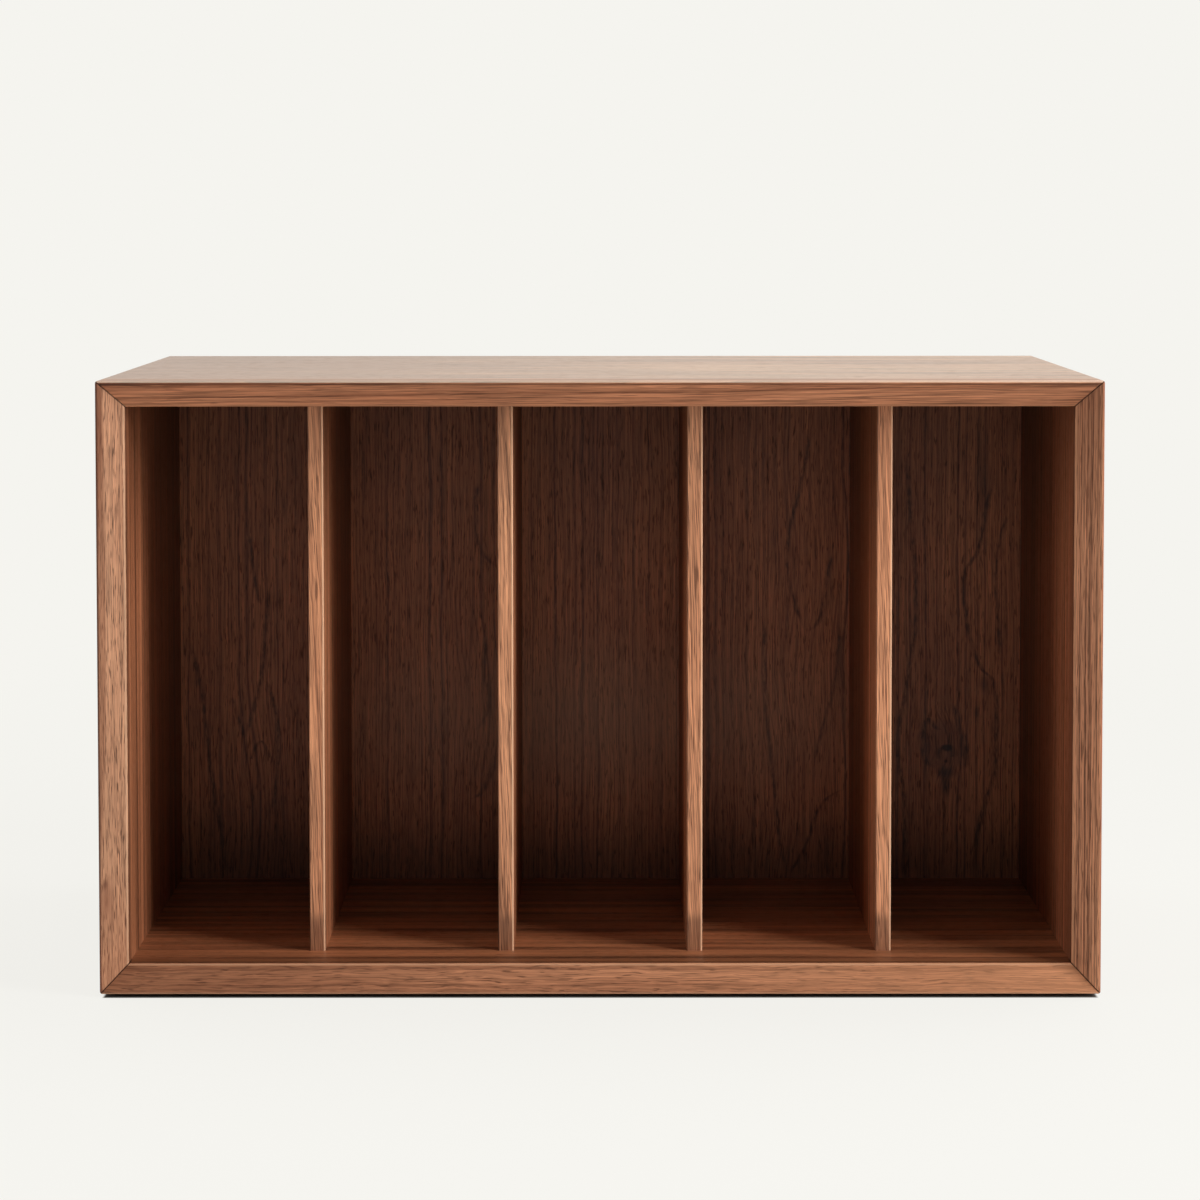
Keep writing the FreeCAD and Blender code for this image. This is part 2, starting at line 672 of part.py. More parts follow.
shelf = build_shelf()
document.recompute()
failed = [item.Label for item in document.Objects if {"Invalid", "Error"} & set(item.State)]
if failed:
    raise RuntimeError(f"objects that failed: {failed}")
for piece in shelf:
    if piece.Shape.isNull() or not piece.Shape.isValid():
        raise RuntimeError(f"{piece.Label} has no valid shape")

os.makedirs("parts", exist_ok=True)
for piece in shelf:
    piece.Shape.exportStep(f"parts/{piece.Label}.step")
    solids = len(piece.Shape.Solids)
    print(f"{piece.Label}: {solids} solids, {piece.Shape.Volume:.1f} cubic mm")
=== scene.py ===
"""Walnut record storage shelf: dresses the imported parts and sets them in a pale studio."""
import logging
import math
from dataclasses import dataclass
from enum import Enum
from typing import Any

import bmesh
import bpy
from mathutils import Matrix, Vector


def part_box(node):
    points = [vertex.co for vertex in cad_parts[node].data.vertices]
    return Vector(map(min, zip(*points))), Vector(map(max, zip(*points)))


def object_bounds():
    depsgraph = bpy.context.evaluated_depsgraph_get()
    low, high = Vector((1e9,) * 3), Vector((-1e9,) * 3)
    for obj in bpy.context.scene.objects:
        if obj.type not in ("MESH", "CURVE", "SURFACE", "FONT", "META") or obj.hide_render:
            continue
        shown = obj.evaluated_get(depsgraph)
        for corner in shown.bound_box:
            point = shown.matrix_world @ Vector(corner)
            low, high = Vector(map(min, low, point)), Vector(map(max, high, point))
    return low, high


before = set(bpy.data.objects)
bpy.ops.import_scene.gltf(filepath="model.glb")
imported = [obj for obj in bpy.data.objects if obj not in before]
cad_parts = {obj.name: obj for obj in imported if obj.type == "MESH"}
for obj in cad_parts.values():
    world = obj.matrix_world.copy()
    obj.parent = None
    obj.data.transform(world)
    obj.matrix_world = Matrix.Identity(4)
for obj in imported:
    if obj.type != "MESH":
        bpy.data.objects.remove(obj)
CAD_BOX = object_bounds()

LOG = logging.getLogger("record_shelf")
MM = 0.001                          # metres in a millimetre
PER_METRE = 1000.0                  # millimetres in a metre
FACTOR, COLOUR_A, COLOUR_B, MIXED = 0, 6, 7, 2      # sockets of a Mix node that mixes colours
ENDLESS = 2000.0                    # half size of a mark that runs right through the shelf, mm
NOISE_LOW, NOISE_HIGH = 0.3, 0.7    # nearly all values of a noise texture lie between these
LINE_CRISPNESS = 0.65               # roughness of the noise in growth lines and fibres
PAINTED_DEEP_SHADE = "#1a0a04"               # painted shade at the back and the top of the bays

Colour = tuple[float, float, float, float]
Triple = tuple[float, float, float]
Tree = bpy.types.NodeTree
Socket = bpy.types.NodeSocket


def linear(hex_colour: str) -> Colour:
    """Turn an sRGB hex value into a linear colour.

    Args:
        hex_colour: Colour such as "#a07053".

    Returns:
        Red, green, blue and a full alpha.
    """
    parts = [int(hex_colour[place:place + 2], 16) / 255 for place in (1, 3, 5)]
    red, green, blue = (
        part / 12.92 if part <= 0.04045 else ((part + 0.055) / 1.055) ** 2.4 for part in parts
    )
    return (red, green, blue, 1.0)


def add_node(tree: Tree, kind: str, inputs: dict[str | int, Any] | None = None,
             **settings: Any) -> bpy.types.Node:
    """Add a node to a tree, with its settings and links.

    Args:
        tree: Node tree of a material or of the world.
        kind: Type of the node without its prefix, such as "TexNoise".
        inputs: Sockets by name or number, each with a value or with the output that feeds it.
        settings: Properties of the node itself.

    Returns:
        The new node.
    """
    node = tree.nodes.new("ShaderNode" + kind)
    for name, setting in settings.items():
        setattr(node, name, setting)
    for key, value in (inputs or {}).items():
        if isinstance(value, Socket):
            tree.links.new(value, node.inputs[key])
        else:
            node.inputs[key].default_value = value
    return node


def new_material(name: str) -> tuple[bpy.types.Material, Tree]:
    """Make an empty node material.

    Args:
        name: Name for the real material and how it was made.

    Returns:
        The material and its cleared node tree.
    """
    material = bpy.data.materials.new(name)
    material.use_nodes = True
    material.node_tree.nodes.clear()
    return material, material.node_tree


def dress(node: str, material: bpy.types.Material) -> None:
    """Give a part of the frame its material.

    Args:
        node: Name of the part.
        material: Finish of all its faces.
    """
    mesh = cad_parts[node].data
    mesh.materials.clear()
    mesh.materials.append(material)
    LOG.info("%s dressed in %s", node, material.name)


class Grain(Enum):
    """Direction of the fibres, as the turn about the depth that lays them along X of the pattern."""

    ALONG_WIDTH = 0.0
    UPRIGHT = 90.0


@dataclass(frozen=True)
class Palette:
    """Colours of a cut of walnut, from its palest wood to the bottom of its pores."""

    pale: str
    ground: str
    dark: str
    pore: str


VENEER = Palette("#ad6f4d", "#9a5f41", "#5c3322", "#351c11")
FLAT_CUT = Palette("#b07350", "#9a5f41", "#5c3120", "#40200f")
SOLID = Palette("#d09a76", "#b37d5d", "#6f4530", "#43210f")


@dataclass(frozen=True)
class Figure:
    """Sizes and strengths of the pattern in a cut of walnut. Sizes are in millimetres."""

    ring_width: float = 4.5
    ring_contrast: float = 0.6
    ring_start: float = 0.48        # values of the noise between which a growth line darkens
    ring_end: float = 0.7
    pore_length: float = 9.0        # room for one pore along the fibres
    pore_gap: float = 1.2           # and across; drawn wider than real pores, which are too fine to show
    pore_start: float = 0.58        # the higher, the fewer pores, from 0.5 for a half of the wood
    pore_fade: float = 0.12         # step of the noise over which a pore darkens
    pore_strength: float = 0.75
    fleck_start: float = 0.42       # values of the pores' noise between which a pale fleck shows
    fleck_end: float = 0.32
    fleck_strength: float = 0.45
    tear_length: float = 7.0        # ragged edges of the veins
    tear_width: float = 2.0
    tear_height: float = 1.0
    tear_low: float = 0.25          # values of the noise at the two sides of a ragged edge
    tear_high: float = 0.75
    gap_low: float = 0.4            # values of the noise between a gap in a vein and the whole vein
    gap_high: float = 0.6
    gap_share: float = 0.4          # share of a vein that is left in a gap
    fibre_length: float = 60.0
    fibre_width: float = 1.1
    fibre_contrast: float = 0.32
    wave_length: float = 160.0      # slow waves of the fibres
    wave_width: float = 40.0
    wave_height: float = 3.0
    tone_length: float = 240.0      # clouds of paler and darker wood
    tone_width: float = 30.0


@dataclass(frozen=True)
class Swirl:
    """A place where the growth lines bend round a crown or a knot. Sizes are in millimetres."""

    middle: Triple
    half_size: Triple
    lift: float


@dataclass(frozen=True)
class Vein:
    """A thin dark line that wanders up a sheet. Sizes are in millimetres."""

    path: tuple[tuple[float, float], ...]       # heights above the floor and places across, from the lowest
    half_width: float = 0.8
    strength: float = 0.82
    rim: float = 2.8                # half widths from its middle at which it starts to show
    core: float = 0.2               # and at which it is darkest
    tip: float = 0.42               # share of its length from its middle at which its tips start to fade


@dataclass(frozen=True)
class Spot:
    """An oval patch or a line of other colour, such as a knot, or painted light or shade along an arris.
    Sizes are in mm.
    """

    middle: Triple
    half_size: Triple
    colour: str
    strength: float
    edge: float = 0.5               # share of the patch at which it starts to fade towards its rim


@dataclass(frozen=True)
class Band:
    """A line of other colour along a plane, such as a mitre. Sizes are in millimetres."""

    normal: Triple
    offset: float
    half_width: float
    colour: str
    strength: float


@dataclass(frozen=True)
class Walnut:
    """Walnut under satin lacquer: brown lines along the fibres, short dark pores and a soft sheen."""

    name: str
    grain: Grain
    log_place: Triple               # from the shelf's origin to the heart of the log, along the pattern, mm
    palette: Palette = VENEER
    stain: Triple = (1.0, 1.0, 1.0)     # red, green and blue of this cut beside its palette
    figure: Figure = Figure()
    lean: float = 0.0               # degrees that the fibres run out of the edge
    roughness: float = 0.38
    specular: float = 0.5
    swirls: tuple[Swirl, ...] = ()
    veins: tuple[Vein, ...] = ()
    spots: tuple[Spot, ...] = ()
    bands: tuple[Band, ...] = ()
    ior: float = 1.5                # of the lacquer
    pore_roughness: float = 0.15    # more in the pores, where the lacquer sinks in
    pore_bump: float = 0.35
    pore_depth: float = 0.15        # mm

    def tone(self, hex_colour: str) -> Colour:
        """Linear colour of the palette in this cut."""
        red, green, blue, alpha = linear(hex_colour)
        return (red * self.stain[0], green * self.stain[1], blue * self.stain[2], alpha)

    def material(self) -> bpy.types.Material:
        """Build the node material of this cut.

        Returns:
            Material with growth lines, fibres, pores, flecks and marks.
        """
        material, tree = new_material(self.name)
        place = add_node(tree, "TexCoord").outputs["Object"]
        turn = math.radians(self.grain.value + self.lean)
        board = add_node(tree, "Mapping", {
            "Vector": place, "Location": self.log_place, "Rotation": (0.0, turn, 0.0),
            "Scale": (PER_METRE,) * 3}).outputs["Vector"]
        shelf = add_node(tree, "VectorMath", {0: place, "Scale": PER_METRE}, operation="SCALE").outputs[0]
        push = self.push(tree, board)
        waved = add_node(tree, "VectorMath", {0: board, 1: push}, operation="ADD").outputs[0]
        pore, fleck = self.pores(tree, waved)
        colour = self.ground(tree, board, waved, self.age(tree, waved, shelf))
        colour = self.pored(tree, colour, pore, fleck)
        colour = self.veined(tree, shelf, waved, colour)
        colour = self.marked(tree, shelf, colour)
        rough = add_node(tree, "MapRange", {
            "Value": pore, "To Min": self.roughness, "To Max": self.roughness + self.pore_roughness})
        bump = add_node(tree, "Bump", {
            "Strength": self.pore_bump, "Distance": self.pore_depth * MM, "Height": pore}, invert=True)
        shader = add_node(tree, "BsdfPrincipled", {
            "Base Color": colour, "Roughness": rough.outputs[0], "IOR": self.ior,
            "Specular IOR Level": self.specular, "Normal": bump.outputs["Normal"]})
        add_node(tree, "OutputMaterial", {"Surface": shader.outputs[0]})
        return material

    def stretched(self, tree: Tree, place: Socket, along: float, across: float) -> Socket:
        """Places in units of a size along the fibres and a size across them.

        Args:
            tree: Tree of the material.
            place: Places in the log, mm.
            along: Size of the pattern along the fibres, mm.
            across: Size of the pattern across them, mm.

        Returns:
            Places for a texture of scale 1.
        """
        share = (1 / along, 1 / across, 1 / across)
        return add_node(tree, "VectorMath", {0: place, 1: share}, operation="MULTIPLY").outputs[0]

    def push(self, tree: Tree, board: Socket) -> Socket:
        """Slow waves that push the fibres sideways.

        Args:
            tree: Tree of the material.
            board: Places in the log, mm.

        Returns:
            Push of each place, mm.
        """
        figure = self.figure
        noise = add_node(tree, "TexNoise", {
            "Vector": self.stretched(tree, board, figure.wave_length, figure.wave_width),
            "Scale": 1.0, "Detail": 2.0})
        middle = add_node(tree, "VectorMath", {
            0: noise.outputs["Color"], 1: (0.5, 0.5, 0.5)}, operation="SUBTRACT")
        height = (0.0, 2 * figure.wave_height, 2 * figure.wave_height)
        return add_node(tree, "VectorMath", {
            0: middle.outputs[0], 1: height}, operation="MULTIPLY").outputs[0]

    def oval(self, tree: Tree, shelf: Socket, middle: Triple, half_size: Triple) -> Socket:
        """Distance from the middle of an oval, where its rim is 1.

        Args:
            tree: Tree of the material.
            shelf: Places on the shelf, mm.
            middle: Middle of the oval, mm.
            half_size: Its half sizes, mm.

        Returns:
            0 in the middle to 1 at the rim and more beyond.
        """
        share = tuple(1 / size for size in half_size)
        shift = tuple(-centre / size for centre, size in zip(middle, half_size))
        away = add_node(tree, "VectorMath", {0: shelf, 1: share, 2: shift}, operation="MULTIPLY_ADD")
        return add_node(tree, "VectorMath", {0: away.outputs[0]}, operation="LENGTH").outputs["Value"]

    def age(self, tree: Tree, waved: Socket, shelf: Socket) -> Socket:
        """Distance from the heart of the log, bent by the swirls.

        Args:
            tree: Tree of the material.
            waved: Places along the wandering fibres, mm.
            shelf: Places on the shelf, mm.

        Returns:
            Age of the wood, counted in millimetres of growth.
        """
        across = add_node(tree, "VectorMath", {0: waved, 1: (0.0, 1.0, 1.0)}, operation="MULTIPLY")
        age = add_node(tree, "VectorMath", {0: across.outputs[0]}, operation="LENGTH").outputs["Value"]
        for swirl in self.swirls:
            hill = add_node(tree, "MapRange", {
                "Value": self.oval(tree, shelf, swirl.middle, swirl.half_size),
                "From Min": 1.0, "From Max": 0.0, "To Max": swirl.lift}, interpolation_type="SMOOTHERSTEP")
            age = add_node(tree, "Math", {0: age, 1: hill.outputs[0]}, operation="ADD").outputs[0]
        return age

    def ground(self, tree: Tree, board: Socket, waved: Socket, age: Socket) -> Socket:
        """Mix the clouds, growth lines and fibres.

        Args:
            tree: Tree of the material.
            board: Places in the log, mm.
            waved: Places along the wandering fibres, mm.
            age: Age of the wood, mm.

        Returns:
            Colour of the wood before its pores.
        """
        figure = self.figure
        tone = add_node(tree, "TexNoise", {
            "Vector": self.stretched(tree, board, figure.tone_length, figure.tone_width),
            "Scale": 1.0, "Detail": 2.0})
        cloud = add_node(tree, "MapRange", {
            "Value": tone.outputs[0], "From Min": NOISE_LOW, "From Max": NOISE_HIGH})
        wood = add_node(tree, "Mix", {
            FACTOR: cloud.outputs[0], COLOUR_A: self.tone(self.palette.ground),
            COLOUR_B: self.tone(self.palette.pale)}, data_type="RGBA")
        count = add_node(tree, "Math", {0: age, 1: figure.ring_width}, operation="DIVIDE")
        rings = add_node(tree, "TexNoise", {
            "W": count.outputs[0], "Scale": 1.0, "Detail": 4.0, "Roughness": LINE_CRISPNESS},
            noise_dimensions="1D")
        lines = add_node(tree, "MapRange", {
            "Value": rings.outputs[0], "From Min": figure.ring_start, "From Max": figure.ring_end,
            "To Max": figure.ring_contrast})
        ringed = add_node(tree, "Mix", {
            FACTOR: lines.outputs[0], COLOUR_A: wood.outputs[MIXED],
            COLOUR_B: self.tone(self.palette.dark)}, data_type="RGBA")
        fibre = add_node(tree, "TexNoise", {
            "Vector": self.stretched(tree, waved, figure.fibre_length, figure.fibre_width),
            "Scale": 1.0, "Detail": 2.0, "Roughness": LINE_CRISPNESS})
        light = add_node(tree, "MapRange", {
            "Value": fibre.outputs[0], "From Min": NOISE_LOW, "From Max": NOISE_HIGH,
            "To Min": 1 - figure.fibre_contrast, "To Max": 1 + figure.fibre_contrast})
        return add_node(tree, "VectorMath", {
            0: ringed.outputs[MIXED], "Scale": light.outputs[0]}, operation="SCALE").outputs[0]

    def pores(self, tree: Tree, waved: Socket) -> tuple[Socket, Socket]:
        """Scatter the pores as short dashes along the fibres, with pale flecks between them.

        Args:
            tree: Tree of the material.
            waved: Places along the wandering fibres, mm.

        Returns:
            1 in a pore and 0 elsewhere, and 1 in a fleck and 0 elsewhere.
        """
        figure = self.figure
        noise = add_node(tree, "TexNoise", {
            "Vector": self.stretched(tree, waved, figure.pore_length, figure.pore_gap),
            "Scale": 1.0, "Detail": 1.0}).outputs[0]
        pore = add_node(tree, "MapRange", {
            "Value": noise, "From Min": figure.pore_start,
            "From Max": figure.pore_start + figure.pore_fade}, interpolation_type="SMOOTHSTEP")
        fleck = add_node(tree, "MapRange", {
            "Value": noise, "From Min": figure.fleck_start, "From Max": figure.fleck_end},
            interpolation_type="SMOOTHSTEP")
        return pore.outputs[0], fleck.outputs[0]

    def pored(self, tree: Tree, colour: Socket, pore: Socket, fleck: Socket) -> Socket:
        """Darken the pores and lighten the flecks.

        Args:
            tree: Tree of the material.
            colour: Colour of the wood.
            pore: Where the pores are.
            fleck: Where the flecks are.

        Returns:
            Colour with pores and flecks.
        """
        figure = self.figure
        depth = add_node(tree, "Math", {0: pore, 1: figure.pore_strength}, operation="MULTIPLY")
        dark = add_node(tree, "Mix", {
            FACTOR: depth.outputs[0], COLOUR_A: colour, COLOUR_B: self.tone(self.palette.pore)},
            data_type="RGBA")
        shine = add_node(tree, "Math", {0: fleck, 1: figure.fleck_strength}, operation="MULTIPLY")
        return add_node(tree, "Mix", {
            FACTOR: shine.outputs[0], COLOUR_A: dark.outputs[MIXED],
            COLOUR_B: self.tone(self.palette.pale)}, data_type="RGBA").outputs[MIXED]

    def veined(self, tree: Tree, shelf: Socket, waved: Socket, colour: Socket) -> Socket:
        """Draw the veins over the wood, ragged and broken as the fibres tear them.

        Args:
            tree: Tree of the material.
            shelf: Places on the shelf, mm.
            waved: Places along the wandering fibres, mm.
            colour: Colour of the wood.

        Returns:
            Colour with its veins.
        """
        if not self.veins:
            return colour
        figure = self.figure
        tears = add_node(tree, "TexNoise", {
            "Vector": self.stretched(tree, waved, figure.tear_length, figure.tear_width),
            "Scale": 1.0, "Detail": 2.0})
        torn = add_node(tree, "SeparateColor", {"Color": tears.outputs["Color"]})
        shake = add_node(tree, "MapRange", {
            "Value": torn.outputs[0], "From Min": figure.tear_low, "From Max": figure.tear_high,
            "To Min": -figure.tear_height, "To Max": figure.tear_height})
        whole = add_node(tree, "MapRange", {
            "Value": torn.outputs[1], "From Min": figure.gap_low, "From Max": figure.gap_high,
            "To Min": figure.gap_share})
        place = add_node(tree, "SeparateXYZ", {0: shelf})
        across = add_node(tree, "Math", {0: place.outputs["X"], 1: shake.outputs[0]}, operation="ADD")
        where = (across.outputs[0], place.outputs["Z"], whole.outputs[0])
        for vein in self.veins:
            colour = self.vein(tree, where, vein, colour)
        return colour

    def vein(self, tree: Tree, where: tuple[Socket, Socket, Socket], vein: Vein, colour: Socket) -> Socket:
        """Draw one vein over the wood.

        Args:
            tree: Tree of the material.
            where: Places along the width and above the floor, mm, and the share of the vein left there.
            vein: The vein.
            colour: Colour of the wood.

        Returns:
            Colour with the vein.
        """
        across, up, whole = where
        heights = [height for height, _ in vein.path]
        places = [place for _, place in vein.path]
        low, high, left, right = heights[0], heights[-1], min(places), max(places)
        share = add_node(tree, "MapRange", {"Value": up, "From Min": low, "From Max": high})
        curve = add_node(tree, "FloatCurve", {"Value": share.outputs[0]})
        points = curve.mapping.curves[0].points
        while len(points) < len(vein.path):
            points.new(0.5, 0.5)
        for point, (height, place) in zip(points, vein.path):
            point.location = ((height - low) / (high - low), (place - left) / (right - left))
        curve.mapping.update()
        middle = add_node(tree, "MapRange", {"Value": curve.outputs[0], "To Min": left, "To Max": right})
        apart = add_node(tree, "Math", {0: across, 1: middle.outputs[0]}, operation="SUBTRACT")
        away = add_node(tree, "Math", {0: apart.outputs[0]}, operation="ABSOLUTE")
        dark = add_node(tree, "MapRange", {
            "Value": away.outputs[0], "From Min": vein.rim * vein.half_width,
            "From Max": vein.core * vein.half_width, "To Max": vein.strength},
            interpolation_type="SMOOTHSTEP")
        half = add_node(tree, "Math", {0: share.outputs[0], 1: 0.5}, operation="SUBTRACT")
        far = add_node(tree, "Math", {0: half.outputs[0]}, operation="ABSOLUTE")
        tip = add_node(tree, "MapRange", {"Value": far.outputs[0], "From Min": 0.5, "From Max": vein.tip})
        tipped = add_node(tree, "Math", {0: dark.outputs[0], 1: tip.outputs[0]}, operation="MULTIPLY")
        broken = add_node(tree, "Math", {0: tipped.outputs[0], 1: whole}, operation="MULTIPLY")
        return add_node(tree, "Mix", {
            FACTOR: broken.outputs[0], COLOUR_A: colour, COLOUR_B: self.tone(self.palette.pore)},
            data_type="RGBA").outputs[MIXED]

    def marked(self, tree: Tree, shelf: Socket, colour: Socket) -> Socket:
        """Lay the spots and bands over the wood.

        Args:
            tree: Tree of the material.
            shelf: Places on the shelf, mm.
            colour: Colour of the wood.

        Returns:
            Colour with its marks.
        """
        for spot in self.spots:
            share = add_node(tree, "MapRange", {
                "Value": self.oval(tree, shelf, spot.middle, spot.half_size), "From Min": 1.0,
                "From Max": spot.edge, "To Max": spot.strength}, interpolation_type="SMOOTHSTEP")
            colour = add_node(tree, "Mix", {
                FACTOR: share.outputs[0], COLOUR_A: colour, COLOUR_B: linear(spot.colour)},
                data_type="RGBA").outputs[MIXED]
        for band in self.bands:
            along = add_node(tree, "VectorMath", {0: shelf, 1: band.normal}, operation="DOT_PRODUCT")
            apart = add_node(tree, "Math", {
                0: along.outputs["Value"], 1: band.offset}, operation="SUBTRACT")
            away = add_node(tree, "Math", {0: apart.outputs[0]}, operation="ABSOLUTE")
            share = add_node(tree, "MapRange", {
                "Value": away.outputs[0], "From Min": 2 * band.half_width, "From Max": band.half_width,
                "To Max": band.strength}, interpolation_type="SMOOTHSTEP")
            colour = add_node(tree, "Mix", {
                FACTOR: share.outputs[0], COLOUR_A: colour, COLOUR_B: linear(band.colour)},
                data_type="RGBA").outputs[MIXED]
        return colour


@dataclass(frozen=True)
class PlainWood:
    """Unfinished beech or birch: pale, matt, with short fine flecks along the fibres."""

    name: str
    ground: str
    fleck: str
    grain: Grain
    fleck_length: float = 4.0       # mm
    fleck_width: float = 0.5
    fleck_start: float = 0.45       # values of the noise between which a fleck darkens
    fleck_end: float = 0.7
    roughness: float = 0.7
    ior: float = 1.5

    def material(self) -> bpy.types.Material:
        """Build the node material of the bare wood.

        Returns:
            Material with flecks along the fibres.
        """
        material, tree = new_material(self.name)
        place = add_node(tree, "TexCoord").outputs["Object"]
        board = add_node(tree, "Mapping", {
            "Vector": place, "Rotation": (0.0, math.radians(self.grain.value), 0.0),
            "Scale": (PER_METRE,) * 3})
        room = (1 / self.fleck_length, 1 / self.fleck_width, 1 / self.fleck_width)
        fine = add_node(tree, "VectorMath", {0: board.outputs[0], 1: room}, operation="MULTIPLY")
        noise = add_node(tree, "TexNoise", {"Vector": fine.outputs[0], "Scale": 1.0, "Detail": 2.0})
        share = add_node(tree, "MapRange", {
            "Value": noise.outputs[0], "From Min": self.fleck_start, "From Max": self.fleck_end})
        colour = add_node(tree, "Mix", {
            FACTOR: share.outputs[0], COLOUR_A: linear(self.ground), COLOUR_B: linear(self.fleck)},
            data_type="RGBA")
        shader = add_node(tree, "BsdfPrincipled", {
            "Base Color": colour.outputs[MIXED], "Roughness": self.roughness, "IOR": self.ior})
        add_node(tree, "OutputMaterial", {"Surface": shader.outputs[0]})
        return material


@dataclass(frozen=True)
class Speckled:
    """Zinc-plated steel, bright steel or moulded nylon: one colour clouded by its surface."""

    name: str
    ground: str
    cloud: str
    grit: float                     # size of the clouds, mm
    metallic: float
    roughness: float
    ior: float = 1.5                # the shader's default, which a metal keeps
    roughness_swing: float = 0.08   # more or less of it in the clouds
    cloud_start: float = 0.35       # values of the noise between which a cloud shows
    cloud_end: float = 0.65

    def material(self) -> bpy.types.Material:
        """Build the node material of the fitting.

        Returns:
            Material with faint clouds in its colour and its gloss.
        """
        material, tree = new_material(self.name)
        place = add_node(tree, "TexCoord").outputs["Object"]
        noise = add_node(tree, "TexNoise", {
            "Vector": place, "Scale": PER_METRE / self.grit, "Detail": 3.0})
        share = add_node(tree, "MapRange", {
            "Value": noise.outputs[0], "From Min": self.cloud_start, "From Max": self.cloud_end})
        colour = add_node(tree, "Mix", {
            FACTOR: share.outputs[0], COLOUR_A: linear(self.ground), COLOUR_B: linear(self.cloud)},
            data_type="RGBA")
        rough = add_node(tree, "MapRange", {
            "Value": noise.outputs[0], "To Min": self.roughness - self.roughness_swing,
            "To Max": self.roughness + self.roughness_swing})
        shader = add_node(tree, "BsdfPrincipled", {
            "Base Color": colour.outputs[MIXED], "Roughness": rough.outputs[0],
            "Metallic": self.metallic, "IOR": self.ior})
        add_node(tree, "OutputMaterial", {"Surface": shader.outputs[0]})
        return material


